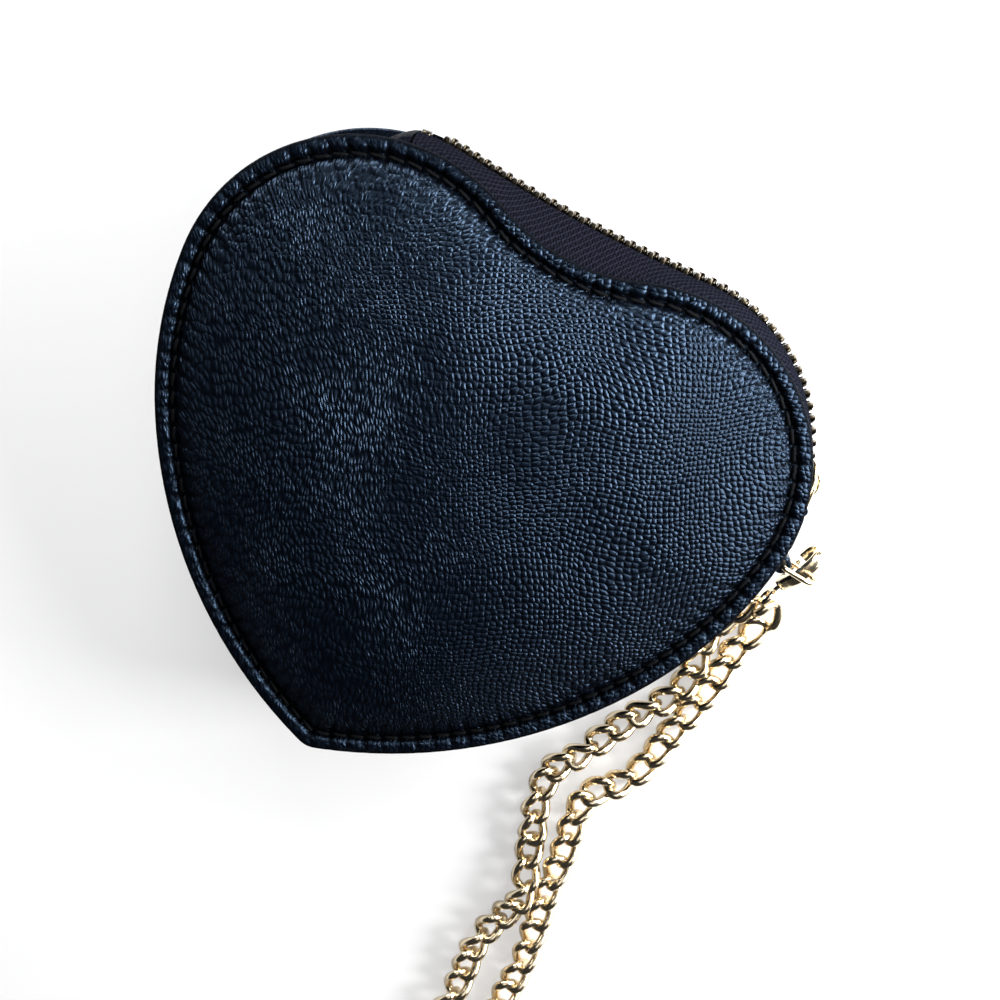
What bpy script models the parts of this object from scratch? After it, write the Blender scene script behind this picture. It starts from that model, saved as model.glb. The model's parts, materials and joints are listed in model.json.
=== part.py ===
"""Heart-shaped zip-around wristlet pouch with a clip-on curb-chain wrist loop.

The pouch lies flat on its back: +Z points out of the front panel, +Y to the two lobes and -Y to
the tip. The origin is the middle of the back panel's flat outer face. All lengths are metres.
"""
import math

import bmesh
import bpy
import numpy as np
from mathutils import Matrix, Vector

# Heart outline: arcs of the right half, tangent to each other, from the tip to the cleft
TIP_RADIUS = 0.0045
TIP_TURN = math.radians(20)
SIDE_RADIUS = 0.093
SIDE_TURN = math.radians(43)
HIP_RADIUS = 0.075
HIP_TURN = math.radians(24)
LOBE_RADIUS = 0.0337
CLEFT_TURN = math.radians(22.5)

# Heights, from the surface that the pouch lies on
LEATHER = 0.0012
LINING = 0.0005
BACK_BOARD = 0.0012
FLANGE = 0.0010
GUSSET_DEPTH = 0.0190
GAP = 0.0003
FRONT_CROWN = 0.0034
BACK_EDGE_ROUND = 0.0003

# Rim and stitched groove of the padded front panel
RIM_WIDTH = 0.0022
GROOVE_INSET = 0.0029
GROOVE_DEPTH = 0.0008
PANEL_INSET = 0.0040
CROWN_SQUARENESS = 4.0

# Gusset and zip tape, as offsets from the heart outline
FLANGE_INSET = 0.0003
GUSSET_INSET = 0.0017
GUSSET_WALL = 0.0012
GUSSET_HOLLOW = 0.0005
ZIP_RADIUS = 0.03138
ZIP_SHIFT = np.array((0.00072, 0.00365))
ZIP_CLEFT_TURN = math.radians(5)
BULGE_RUN = 0.0080
LINING_CLEARANCE = 0.0003
BOARD_SHARE = 0.985
LINING_SHARE = 0.965

# Zip
ZIP_START_ANGLE = math.radians(2)
ZIP_END_ANGLE = math.radians(80)
TAPE = 0.0006
END_GAP = 0.0004
TOOTH_PITCH = 0.0023
TOOTH_LENGTH = 0.0012
TOOTH_REACH = 0.0026
TOOTH_HALF_HEIGHT = 0.0010
BEAD_HALF_HEIGHT = 0.0004
BEAD_WIDTH = 0.0014
ROW_GAP = 0.0009
SLIDER_LENGTH = 0.0085
SLIDER_WIDTH = 0.0076
SLIDER_PLATE = 0.0006
SLIDER_CLEARANCE = 0.00025
SLIDER_PARK_ANGLE = math.radians(14)
WEB = 0.0005
WEB_LENGTH = 0.0030
STOP_LENGTH = 0.0018
STOP_PLACE = 0.0035
BAIL_LENGTH = 0.0042
BAIL_HEIGHT = 0.00185
BAIL_WIDTH = 0.0014
BAIL_WALL = 0.0005
LINK_WIRE = 0.0007
LINK_WIDTH = 0.0038
LINK_LENGTH = 0.0055
PULL_LENGTH = 0.0070
PULL_WIDTH = 0.0052
PULL_THICKNESS = 0.0013
PULL_FOLD = 0.00045
PULL_CORNER = 0.0012
PULL_LEAN = math.radians(6)

# Ring tab and D-ring at the closed end of the zip
TAB_DISTANCE = 0.0040
TAB_HEIGHT = 0.0052
TAB_LEATHER = 0.0010
TAB_TAIL = 0.0038
RING_WIRE = 0.0014
RING_HEIGHT = 0.0080
RING_LEG = 0.0039
RING_CORNER = 0.0010
BAR_CLEARANCE = 0.0002

# Lobster clasp, in its own upright plane
CLASP_HEADING = math.radians(72.2)
CLASP_THICKNESS = 0.0022
HOOK_OUTER = 0.0044
HOOK_INNER = 0.0028
HOOK_STRETCH = 0.0018
HOOK_HANG = 0.0009
HOOK_PLACE = math.radians(70)
CLASP_TAIL = 0.0056
TAIL_HALF_WIDTH = 0.0014
GATE_FRONT = 0.0009
LEVER_THICKNESS = 0.0010
LEVER_CLEARANCE = 0.0002
LEVER_PIVOT = (-0.0031, -0.0024)
LEVER_BOSS = 0.0010
PIN_RADIUS = 0.0004
PIN_CLEARANCE = 0.0001
LEVER_SLOT = ((-0.0052, -0.0048), (-0.0018, -0.0048), (-0.0018, -0.0009), (-0.0052, -0.0009))
LEVER_TONGUE = ((-0.0012, -0.0044), (0.0004, -0.0042), (0.0006, -0.0031), (-0.0010, -0.0030))
CLASP_BELLY = ((-0.0042, -0.0030), (-0.0030, -0.0034), (-0.0024, -0.0021))
CUTTER_DEPTH = 0.0040
SPRING_WIRE = 0.0002
SPRING_ABOVE = 0.00025
SPRING_BENDS = ((-0.0018, -0.0003), (-0.0010, 0.0), (0.0005, 0.0), (0.0010, -0.0003))
EYE_RADIUS = 0.0016
EYE_WIRE = 0.0012
EYE_STEM = 0.0009
STEM_BORE = 0.0015
STEM_LENGTH = 0.0022

# Wrist chain
CHAIN_THICKNESS = 0.0030
CHAIN_SPACING = 0.0034
CHAIN_STEP = 0.0046

LEATHER_COLOUR = (0.011, 0.016, 0.028)
LINING_COLOUR = (0.020, 0.022, 0.026)
BOARD_COLOUR = (0.30, 0.30, 0.29)
TAPE_COLOUR = (0.016, 0.016, 0.022)
GOLD_COLOUR = (0.83, 0.66, 0.40)

# Levels worked out from the stack
BACK_FLANGE_Z = LEATHER + GAP
FRONT_FLANGE_Z = BACK_FLANGE_Z + GUSSET_DEPTH
RIM_Z = FRONT_FLANGE_Z + GAP
RIM_TOP_Z = RIM_Z + LEATHER
MIDDLE_Z = BACK_FLANGE_Z + GUSSET_DEPTH / 2
SECTION_COUNTS = (4, 9, 5, 12, 8)
SECTIONS = len(SECTION_COUNTS)


def across(heading):
    """The direction to the right of a heading, which is outwards on an anticlockwise outline."""
    return np.array((math.sin(heading), -math.cos(heading)))


def half_heart(cleft_turn):
    """Arcs (place, heading, signed radius, turn) of the right half, from the tip to the cleft."""
    lobe_turn = math.pi + cleft_turn - TIP_TURN - SIDE_TURN - HIP_TURN
    turns = (
        (TIP_RADIUS, TIP_TURN),
        (SIDE_RADIUS, SIDE_TURN),
        (HIP_RADIUS, HIP_TURN),
        (LOBE_RADIUS, lobe_turn),
    )
    arcs = []
    place = np.zeros(2)
    heading = 0.0
    for radius, turn in turns:
        arcs.append((place, heading, radius, turn))
        place, heading = on_arc(arcs[-1], 1.0)
    arcs.append((place, heading, -place[0] / math.sin(cleft_turn), cleft_turn))
    return arcs


def on_arc(arc, share):
    """The point and heading a share of the way along an arc."""
    place, heading, radius, turn = arc
    end = heading + math.copysign(turn, radius) * share
    return place - radius * across(heading) + radius * across(end), end


RIM_ARCS = half_heart(CLEFT_TURN)
ZIP_ARCS = half_heart(ZIP_CLEFT_TURN)
LOBE_START = RIM_ARCS[3][1] - math.pi / 2
TIP_Y = -(RIM_ARCS[3][0][1] - LOBE_RADIUS * across(RIM_ARCS[3][1])[1] + LOBE_RADIUS) / 2
LOBE_CENTRE = RIM_ARCS[3][0] - LOBE_RADIUS * across(RIM_ARCS[3][1]) + np.array((0.0, TIP_Y))
ZIP_CENTRE = LOBE_CENTRE + ZIP_SHIFT


def spot(u, arcs):
    """Point and outward direction of the heart outline at u.

    u is 0 at the bottom of the tip and grows by 1 for each section of the right half: tip, side,
    hip, lobe up to the zip's end angle, and the bridge from there to the middle of the cleft.
    From there on it runs down the left half, and at 2 * SECTIONS it is back at the tip.
    """
    u = u % (2 * SECTIONS)
    side = 1.0 if u <= SECTIONS else -1.0
    u = min(u, 2 * SECTIONS - u)
    k = min(int(u), SECTIONS - 1)
    share = u - k
    lobe = arcs[3]
    lobe_share = (ZIP_END_ANGLE - LOBE_START) / lobe[3]
    if k < 3:
        point, heading = on_arc(arcs[k], share)
    elif k == 3:
        point, heading = on_arc(lobe, share * lobe_share)
    else:
        rest = lobe[2] * lobe[3] * (1 - lobe_share)
        cleft = -arcs[4][2] * arcs[4][3]
        run = share * (rest + cleft)
        if run < rest:
            point, heading = on_arc(lobe, lobe_share + run / (lobe[2] * lobe[3]))
        else:
            point, heading = on_arc(arcs[4], (run - rest) / cleft)
    out = across(heading)
    return np.array((side * point[0], point[1] + TIP_Y)), np.array((side * out[0], out[1]))


ZIP_START = 3 + (ZIP_START_ANGLE - LOBE_START) / (ZIP_END_ANGLE - LOBE_START)
ZIP_END = 2 * SECTIONS - 4
HIP_LENGTH = HIP_RADIUS * HIP_TURN
LOBE_LENGTH = LOBE_RADIUS * (ZIP_END_ANGLE - LOBE_START)


def smooth(x):
    x = min(max(x, 0.0), 1.0)
    return x * x * (3 - 2 * x)


def lobe_bulge(angle):
    """How far the zip's own arc stands outside the lobe, at an angle about the lobe's centre."""
    towards = math.cos(angle) * ZIP_SHIFT[0] + math.sin(angle) * ZIP_SHIFT[1]
    return towards + math.sqrt(ZIP_RADIUS**2 - ZIP_SHIFT @ ZIP_SHIFT + towards**2) - LOBE_RADIUS


def bulge(u):
    """How far the gusset stands outside the heart outline at half its depth.

    The zip sinks along its own arc over the right lobe, towards its closed end, and the leather
    gusset is drawn in by GUSSET_INSET.
    """
    if u > ZIP_END:
        before = min(u - ZIP_END, 2 * SECTIONS + ZIP_START - u) * LOBE_LENGTH
        zip_bulge = lobe_bulge(ZIP_END_ANGLE)
    else:
        before = max(ZIP_START - u, 0.0) * HIP_LENGTH
        share = min(max(u, ZIP_START), 4.0) - 3
        zip_bulge = lobe_bulge(LOBE_START + share * (ZIP_END_ANGLE - LOBE_START))
    return zip_bulge - (zip_bulge + GUSSET_INSET) * smooth(before / BULGE_RUN)


def rim_spot(u):
    return spot(u, RIM_ARCS)


def middle_spot(u):
    """Point and outward direction of the gusset's bulged line at half its depth."""
    point, out = spot(u, ZIP_ARCS)
    return point + bulge(u % (2 * SECTIONS)) * out, out


def stations(start, end):
    """Values of u from start to end, with each section's own spacing."""
    kept = [start]
    half = [k + i / n for k, n in enumerate(SECTION_COUNTS) for i in range(n)]
    whole = half + [float(SECTIONS)] + [2 * SECTIONS - u for u in reversed(half[1:])]
    for turn in (-1, 0, 1):
        for u in whole:
            at = u + turn * 2 * SECTIONS
            if start + 0.02 < at < end - 0.02:
                kept.append(at)
    return kept + [end]


def rim_ring(inset):
    """The whole outline, moved in by inset, as one row of points."""
    return np.array([point - inset * out for point, out in map(rim_spot, stations(0, 2 * SECTIONS)[:-1])])


def gusset_point(u, weight, offset, z):
    """A point between the rim outline (weight 0) and the bulged middle line (weight 1)."""
    rim, rim_out = rim_spot(u)
    middle, middle_out = middle_spot(u)
    rim = rim + offset * rim_out
    middle = middle + offset * middle_out
    return (*(rim + weight * (middle - rim)), z)


def material(name, colour, roughness, metallic):
    made = bpy.data.materials.new(name)
    made.use_nodes = True
    shader = made.node_tree.nodes["Principled BSDF"]
    shader.inputs["Base Color"].default_value = (*colour, 1.0)
    shader.inputs["Roughness"].default_value = roughness
    shader.inputs["Metallic"].default_value = metallic
    return made


def link(name, data, surface):
    made = bpy.data.objects.new(name, data)
    data.materials.append(surface)
    PARTS.objects.link(made)
    return made


def mesh_object(name, points, faces, surface, smooth_angle=35):
    mesh = bpy.data.meshes.new(name)
    mesh.from_pydata([tuple(map(float, p)) for p in points], [], faces)
    shape = bmesh.new()
    shape.from_mesh(mesh)
    bmesh.ops.recalc_face_normals(shape, faces=shape.faces)
    shape.to_mesh(mesh)
    shape.free()
    mesh.shade_smooth()
    mesh.set_sharp_from_angle(angle=math.radians(smooth_angle))
    return link(name, mesh, surface)


def loft(name, sections, surface):
    """A closed solid through equal sections, one after the other, with a flat face at each end."""
    count = len(sections[0])
    points = [p for section in sections for p in section]
    faces = []
    for i in range(len(sections) - 1):
        for j in range(count):
            k = (j + 1) % count
            faces.append((i * count + j, i * count + k, (i + 1) * count + k, (i + 1) * count + j))
    faces.append(tuple(range(count)))
    faces.append(tuple(range((len(sections) - 1) * count, len(sections) * count)))
    return mesh_object(name, points, faces, surface)


def dome(name, rows, surface):
    """A closed solid from rings (ring, height), the first and last of them shrunk to one point."""
    count = len(rows[1][0])
    points = [(*np.mean(rows[0][0], axis=0), rows[0][1])]
    for ring, z in rows[1:-1]:
        points.extend((*p, z) for p in ring)
    points.append((*np.mean(rows[-1][0], axis=0), rows[-1][1]))
    faces = []
    last = len(points) - 1
    rings = len(rows) - 2
    for j in range(count):
        k = (j + 1) % count
        faces.append((0, 1 + k, 1 + j))
        top = 1 + (rings - 1) * count
        faces.append((last, top + j, top + k))
        for i in range(rings - 1):
            a = 1 + i * count
            b = a + count
            faces.append((a + j, a + k, b + k, b + j))
    return mesh_object(name, points, faces, surface)


def plate(name, outlines, thickness, surface, place=(0, 0, 0), collection=None):
    """A flat plate from closed outlines, the first outside and the others holes in it."""
    curve = bpy.data.curves.new(name, "CURVE")
    curve.dimensions = "2D"
    curve.fill_mode = "BOTH"
    curve.extrude = thickness / 2
    for outline in outlines:
        spline = curve.splines.new("POLY")
        spline.points.add(len(outline) - 1)
        for target, (x, y) in zip(spline.points, outline):
            target.co = (x, y, 0, 1)
        spline.use_cyclic_u = True
    made = link(name, curve, surface)
    made.location = place
    return made


def wire(name, points, thickness, surface, cyclic=False, resolution=2):
    curve = bpy.data.curves.new(name, "CURVE")
    curve.dimensions = "3D"
    curve.bevel_depth = thickness / 2
    curve.bevel_resolution = resolution
    curve.use_fill_caps = not cyclic
    curve.twist_mode = "MINIMUM"
    spline = curve.splines.new("POLY")
    spline.points.add(len(points) - 1)
    for target, p in zip(spline.points, points):
        target.co = (*map(float, p), 1)
    spline.use_cyclic_u = cyclic
    return link(name, curve, surface)


def as_mesh(curve_object):
    """The curve object as a mesh object of the same name and place, with its caps welded."""
    bpy.context.view_layer.update()
    graph = bpy.context.evaluated_depsgraph_get()
    mesh = bpy.data.meshes.new_from_object(curve_object.evaluated_get(graph))
    name = curve_object.name
    matrix = curve_object.matrix_world.copy()
    bpy.data.objects.remove(curve_object)
    shape = bmesh.new()
    shape.from_mesh(mesh)
    bmesh.ops.remove_doubles(shape, verts=shape.verts, dist=1e-6)
    bmesh.ops.recalc_face_normals(shape, faces=shape.faces)
    shape.to_mesh(mesh)
    shape.free()
    made = bpy.data.objects.new(name, mesh)
    PARTS.objects.link(made)
    made.matrix_world = matrix
    return made


def combine(body, other, operation):
    """A Boolean of body with other, which becomes a hidden cutter."""
    modifier = body.modifiers.new(operation.title() + " " + other.name, "BOOLEAN")
    modifier.operation = operation
    modifier.solver = "EXACT"
    modifier.object = other
    PARTS.objects.unlink(other)
    CUTTERS.objects.link(other)
    other.hide_render = True
    other.display_type = "WIRE"


def circle(centre, radius, start, end, count):
    """Points of an arc about centre, from one angle to another."""
    angles = np.linspace(start, end, count)
    return [(centre[0] + radius * math.cos(a), centre[1] + radius * math.sin(a)) for a in angles]


def ring_of(centre, radius, count=12):
    """Points of a full circle, the first not repeated."""
    return circle(centre, radius, 0, 2 * math.pi, count + 1)[:-1]


def pivot(name, place, parent=None):
    made = bpy.data.objects.new(name, None)
    made.empty_display_size = 0.005
    PARTS.objects.link(made)
    made.location = place
    if parent:
        hold(made, parent)
    return made


def hold(child, parent):
    """Parents child to an unturned, unscaled pivot without moving it."""
    bpy.context.view_layer.update()
    child.parent = parent
    child.matrix_parent_inverse = Matrix.Translation(parent.matrix_world.translation).inverted()


# Front and back panels, their stiffening boards and linings


def crown(share):
    """Height of the padded front above the panel's edge, at a share of the way to that edge."""
    return FRONT_CROWN * (1 - share**CROWN_SQUARENESS)


CROWN_SHARES = (0.975, 0.94, 0.88, 0.78, 0.62, 0.42, 0.2)
EDGE_ROUND = ((0.0, 0.45), (0.0005, 0.15), (0.0012, 0.0))


def front_panel():
    """The padded outer leather, with a rounded rim and the pressed groove of its seam."""
    edge = rim_ring(PANEL_INSET)
    rows = [(edge * 0, RIM_Z + FRONT_CROWN)]
    rows += [(edge * share, RIM_Z + crown(share)) for share in reversed(CROWN_SHARES)]
    rows += [(rim_ring(PANEL_INSET), RIM_Z)]
    rows += [(rim_ring(0.0003), RIM_Z)]
    rows += [(rim_ring(inset), RIM_TOP_Z - LEATHER * drop) for inset, drop in EDGE_ROUND]
    rows += [(rim_ring(RIM_WIDTH), RIM_TOP_Z - 0.2 * GROOVE_DEPTH)]
    rows += [(rim_ring(GROOVE_INSET), RIM_TOP_Z - GROOVE_DEPTH)]
    rows += [(edge, RIM_TOP_Z)]
    rows += [(edge * share, RIM_TOP_Z + crown(share)) for share in CROWN_SHARES]
    rows += [(edge * 0, RIM_TOP_Z + FRONT_CROWN)]
    return dome("front_panel", rows, SKIN)


def front_board():
    """Foam-faced board that fills the front panel's crown."""
    edge = rim_ring(PANEL_INSET) * BOARD_SHARE
    floor = RIM_Z - 3 * GAP
    rows = [(edge * 0, floor), (edge, floor), (edge, RIM_Z - GAP)]
    rows += [(edge * share, RIM_Z - GAP + crown(share)) for share in CROWN_SHARES]
    rows += [(edge * 0, RIM_Z - GAP + FRONT_CROWN)]
    return dome("front_board", rows, FOAM)


def flat_sheet(name, share, low, thickness, surface):
    outline = rim_ring(PANEL_INSET) * share
    return plate(name, [outline], thickness, surface, (0, 0, low + thickness / 2))


def back_panel():
    made = plate("back_panel", [rim_ring(0)], LEATHER, SKIN, (0, 0, LEATHER / 2))
    weld = made.modifiers.new("Weld caps", "WELD")
    weld.merge_threshold = 1e-6
    edge = made.modifiers.new("Round edge", "BEVEL")
    edge.width = BACK_EDGE_ROUND
    edge.segments = 1
    edge.limit_method = "ANGLE"
    edge.angle_limit = math.radians(60)
    return made


# Leather gusset and its lining, from the left end of the zip round the tip to its right end


def gusset_stations(trim):
    start = ZIP_END + (END_GAP + trim) / LOBE_LENGTH
    end = 2 * SECTIONS + ZIP_START - (END_GAP + trim) / HIP_LENGTH
    return stations(start, end)


def gusset_band():
    """A channel of leather with its two edges turned outwards and sewn to the panels."""
    top = FRONT_FLANGE_Z
    wall = -GUSSET_INSET - GUSSET_WALL
    profile = (
        (0, -FLANGE_INSET, BACK_FLANGE_Z),
        (0, -FLANGE_INSET, BACK_FLANGE_Z + FLANGE),
        (0.35, -GUSSET_HOLLOW, BACK_FLANGE_Z + FLANGE + 0.0006),
        (1, 0, MIDDLE_Z),
        (0.35, -GUSSET_HOLLOW, top - FLANGE - 0.0006),
        (0, -FLANGE_INSET, top - FLANGE),
        (0, -FLANGE_INSET, top),
        (0, wall - 0.0004, top),
        (1, -GUSSET_WALL, MIDDLE_Z),
        (0, wall - 0.0004, BACK_FLANGE_Z),
    )
    rows = [[gusset_point(u, *p) for p in profile] for u in gusset_stations(0)]
    return loft("gusset_band", rows, SKIN)


def gusset_lining():
    """Fabric over the inside of the leather gusset, where it bulges inwards."""
    near = -GUSSET_INSET - GUSSET_WALL - 0.0004 - LINING_CLEARANCE
    low = BACK_FLANGE_Z + BACK_BOARD + GAP
    high = FRONT_FLANGE_Z - 4 * GAP
    near_middle = -GUSSET_WALL - LINING_CLEARANCE
    profile = (
        (0, near, low),
        (1, near_middle, MIDDLE_Z),
        (0, near, high),
        (0, near - LINING, high),
        (1, near_middle - LINING, MIDDLE_Z),
        (0, near - LINING, low),
    )
    rows = [[gusset_point(u, *p) for p in profile] for u in gusset_stations(BULGE_RUN)]
    return loft("gusset_lining", rows, CLOTH)


# Zip: two tapes sewn to the panels' flanges, teeth, stops, slider and pull


def zip_tape(name, side):
    """One tape, from its sewn edge at the panel's flange out to the zip's line.

    side is 1 for the front tape and -1 for the back one.
    """
    edge = GUSSET_DEPTH / 2 - FLANGE / 2
    last = ROW_GAP / 2 + TOOTH_REACH + GAP
    flat = ((0, -0.0034, edge), (0, -0.0008, edge))
    line = (*flat, (0.22, 0, edge - 0.0016), (0.7, 0, edge - 0.0038), (1, 0, last))
    reach = np.array([(weight * 0.003 + offset, z) for weight, offset, z in line])
    along = np.gradient(reach, axis=0)
    along /= np.linalg.norm(along, axis=1)[:, None]
    profile = []
    for turn in (1, -1):
        face = [
            (weight, offset - turn * t[1] * TAPE / 2, MIDDLE_Z + side * (z + turn * t[0] * TAPE / 2))
            for (weight, offset, z), t in zip(line, along)
        ]
        profile += face[::turn]
    us = stations(ZIP_START, ZIP_END)
    rows = [[gusset_point(u, *p) for p in profile] for u in us]
    return loft(name, rows, WOVEN)


def zip_line():
    """Lengths along the zip's line and the values of u they belong to."""
    us = np.linspace(ZIP_START, ZIP_END, 600)
    line = np.array([middle_spot(u)[0] for u in us])
    steps = np.linalg.norm(np.diff(line, axis=0), axis=1)
    return np.concatenate([[0.0], np.cumsum(steps)]), us


def teeth_row(name, side):
    """Teeth in one piece with the bead of cord that they are clenched on."""
    lengths, us = zip_line()
    start = middle_spot(ZIP_START)[0] - ZIP_CENTRE
    first = ZIP_RADIUS * (SLIDER_PARK_ANGLE - math.atan2(start[1], start[0])) + SLIDER_LENGTH / 2 + 2 * GAP
    last = lengths[-1] - 2 * STOP_LENGTH - GAP
    count = int((last - first) / TOOTH_PITCH)
    step = 0.00004
    rows = []
    near = ROW_GAP / 2
    far = near + TOOTH_REACH

    def section(at, height, low, high):
        u = float(np.interp(at, lengths, us))
        corners = ((-height, low), (height, low), (height, high), (-height, high))
        return [gusset_point(u, 1, offset, MIDDLE_Z + side * z) for offset, z in corners]

    for i in range(count):
        start = first + i * TOOTH_PITCH
        end = start + TOOTH_LENGTH
        rows.append(section(start, TOOTH_HALF_HEIGHT, near, far))
        rows.append(section(end, TOOTH_HALF_HEIGHT, near, far))
        if i < count - 1:
            rows.append(section(end + step, BEAD_HALF_HEIGHT, far - BEAD_WIDTH, far - 2 * step))
            end = start + TOOTH_PITCH - step
            rows.append(section(end, BEAD_HALF_HEIGHT, far - BEAD_WIDTH, far - 2 * step))
    return loft(name, rows, GOLD)


def zip_stop(name, start, low, high):
    """A clenched metal stop on the zip's line."""
    lengths, us = zip_line()
    ends = [float(np.interp(at, lengths, us)) for at in (start, start + STOP_LENGTH)]
    corners = (
        (-TOOTH_HALF_HEIGHT, low),
        (TOOTH_HALF_HEIGHT, low),
        (TOOTH_HALF_HEIGHT, high),
        (-TOOTH_HALF_HEIGHT, high),
    )
    rows = [[gusset_point(u, 1, offset, MIDDLE_Z + z) for offset, z in corners] for u in ends]
    return loft(name, rows, GOLD)


def stops():
    lengths, _ = zip_line()
    near = ROW_GAP / 2
    far = near + TOOTH_REACH
    return (
        zip_stop("zip_bottom_stop", lengths[-1] - STOP_LENGTH - GAP, -far, far),
        zip_stop("front_top_stop", STOP_PLACE, near, far),
        zip_stop("back_top_stop", STOP_PLACE, -far, -near),
    )


def sector(inner, outer, half_angle, count=7):
    """Outline of a bent plate about the centre of the zip's arc, with its middle at angle 0."""
    return circle((0, 0), outer, -half_angle, half_angle, count) + circle(
        (0, 0), inner, half_angle, -half_angle, count
    )


PLATE_OFFSET = TOOTH_HALF_HEIGHT + SLIDER_CLEARANCE


def zip_slider():
    """Two bent plates joined by a thin web between the tooth rows, with a bail on the outside."""
    half = SLIDER_LENGTH / 2 / ZIP_RADIUS
    outer = ZIP_RADIUS + PLATE_OFFSET
    inner = ZIP_RADIUS - PLATE_OFFSET
    centre = (*ZIP_CENTRE, MIDDLE_Z)
    body = plate("zip_slider", [sector(outer, outer + SLIDER_PLATE, half)], SLIDER_WIDTH, GOLD, centre)
    under = sector(inner - SLIDER_PLATE, inner, half)
    lower = plate("slider_inner_plate", [under], SLIDER_WIDTH, GOLD, centre)
    web_half = WEB_LENGTH / 2 / ZIP_RADIUS
    bite = SLIDER_PLATE / 2
    web = plate("slider_web", [sector(inner - bite, outer + bite, web_half)], WEB, GOLD, centre)
    foot = outer + SLIDER_PLATE - bite
    top = outer + SLIDER_PLATE + BAIL_HEIGHT
    side = BAIL_LENGTH / 2
    bail_outside = [(foot, -side), (top, -side + BAIL_WALL), (top, side - BAIL_WALL), (foot, side)]
    low = outer + SLIDER_PLATE + BAIL_WALL / 2
    bail_hole = [
        (low, -side + BAIL_WALL),
        (top - BAIL_WALL, -side + 1.6 * BAIL_WALL),
        (top - BAIL_WALL, side - 1.6 * BAIL_WALL),
        (low, side - BAIL_WALL),
    ]
    bail = plate("slider_bail", [bail_outside, bail_hole], BAIL_WIDTH, GOLD, centre)
    pieces = [body, lower, web, bail]
    for piece in pieces:
        piece.rotation_euler = (0, 0, SLIDER_PARK_ANGLE)
    pieces = [as_mesh(piece) for piece in pieces]
    for other in pieces[1:]:
        combine(pieces[0], other, "UNION")
    return pieces[0]


LINK_RADIUS = (
    ZIP_RADIUS + PLATE_OFFSET + SLIDER_PLATE + BAIL_WALL / 2 + LINK_WIRE / 2 + BAR_CLEARANCE
)


def pull_frame():
    """Place and axes of the pull: its pin in the bail, x along the pull and z across the zip."""
    angle = SLIDER_PARK_ANGLE
    centre = np.array((*ZIP_CENTRE, MIDDLE_Z))
    place = centre + LINK_RADIUS * np.array((math.cos(angle), math.sin(angle), 0))
    return Matrix.Translation(Vector(place)) @ Matrix.Rotation(angle - math.pi / 2 - PULL_LEAN, 4, "Z")


def rounded_box(x0, x1, half, corner, count=4):
    """Outline of a rectangle from x0 to x1 with rounded corners."""
    quarter = math.pi / 2
    corners = ((x1, -1, -quarter), (x1, 1, 0), (x0, 1, quarter), (x0, -1, 2 * quarter))
    points = []
    for x, side, start in corners:
        inwards = corner if x == x0 else -corner
        points += circle((x + inwards, side * (half - corner)), corner, start, start + quarter, count)
    return points


def zip_pull():
    """A wire link through the slider's bail, and a leather tongue folded round the link's end."""
    frame = pull_frame()
    half = LINK_WIDTH / 2 - LINK_WIRE / 2
    loop = [(x, 0, z) for x, z in rounded_box(0, LINK_LENGTH, half, LINK_WIRE)]
    loop_object = wire("pull_link", loop, LINK_WIRE, GOLD, cyclic=True)
    loop_object.matrix_world = frame
    hole = LINK_WIRE / 2 + BAR_CLEARANCE
    start = LINK_LENGTH + hole + BAR_CLEARANCE
    outline = rounded_box(start, start + PULL_LENGTH, PULL_WIDTH / 2, PULL_CORNER)
    tongue = plate("zip_pull", [outline], PULL_THICKNESS, SKIN)
    tongue.matrix_world = frame @ Matrix.Rotation(math.pi / 2, 4, "X")
    eye = [ring_of((LINK_LENGTH, 0), radius, 16) for radius in (hole + PULL_FOLD, hole)]
    fold = plate("pull_fold", eye, 2 * (half - LINK_WIRE / 2 - BAR_CLEARANCE), SKIN)
    fold.matrix_world = frame
    tongue = as_mesh(tongue)
    combine(tongue, as_mesh(fold), "UNION")
    return loop_object, tongue


# Ring tab, D-ring and lobster clasp


TAB_AT = ZIP_START - TAB_DISTANCE / HIP_LENGTH


def tab_frame():
    """Place and axes of the ring's bar: x straight out of the gusset, z up."""
    point, out = middle_spot(TAB_AT)
    angle = math.atan2(out[1], out[0])
    reach = GAP + TAB_TAIL
    place = Vector((*(point + reach * out), MIDDLE_Z))
    return Matrix.Translation(place) @ Matrix.Rotation(angle, 4, "Z")


def ring_tab():
    """Leather folded round the ring's bar, its two tails sewn together and to the gusset."""
    hole = RING_WIRE / 2 + BAR_CLEARANCE
    outer = hole + TAB_LEATHER
    neck = math.acos(TAB_LEATHER / outer)
    turn = math.pi / 2 + neck
    outline = circle((0, 0), outer, -turn, turn, 14)
    outline += [(-TAB_TAIL, outline[-1][1]), (-TAB_TAIL, outline[0][1])]
    inner = ring_of((0, 0), hole)
    made = plate("ring_tab", [outline, inner], TAB_HEIGHT, SKIN)
    made.matrix_world = tab_frame()
    return made


def d_ring():
    """A D of round wire, its straight bar upright in the tab."""
    half = RING_HEIGHT / 2
    quarter = math.pi / 2
    line = circle((RING_LEG, 0), half, -quarter, quarter, 13)
    line += circle((RING_CORNER, half - RING_CORNER), RING_CORNER, quarter, 2 * quarter, 4)
    line += circle((RING_CORNER, RING_CORNER - half), RING_CORNER, 2 * quarter, 3 * quarter, 4)
    made = wire("d_ring", [(x, 0, z) for x, z in line], RING_WIRE, GOLD, cyclic=True)
    made.matrix_world = tab_frame()
    return made


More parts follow.
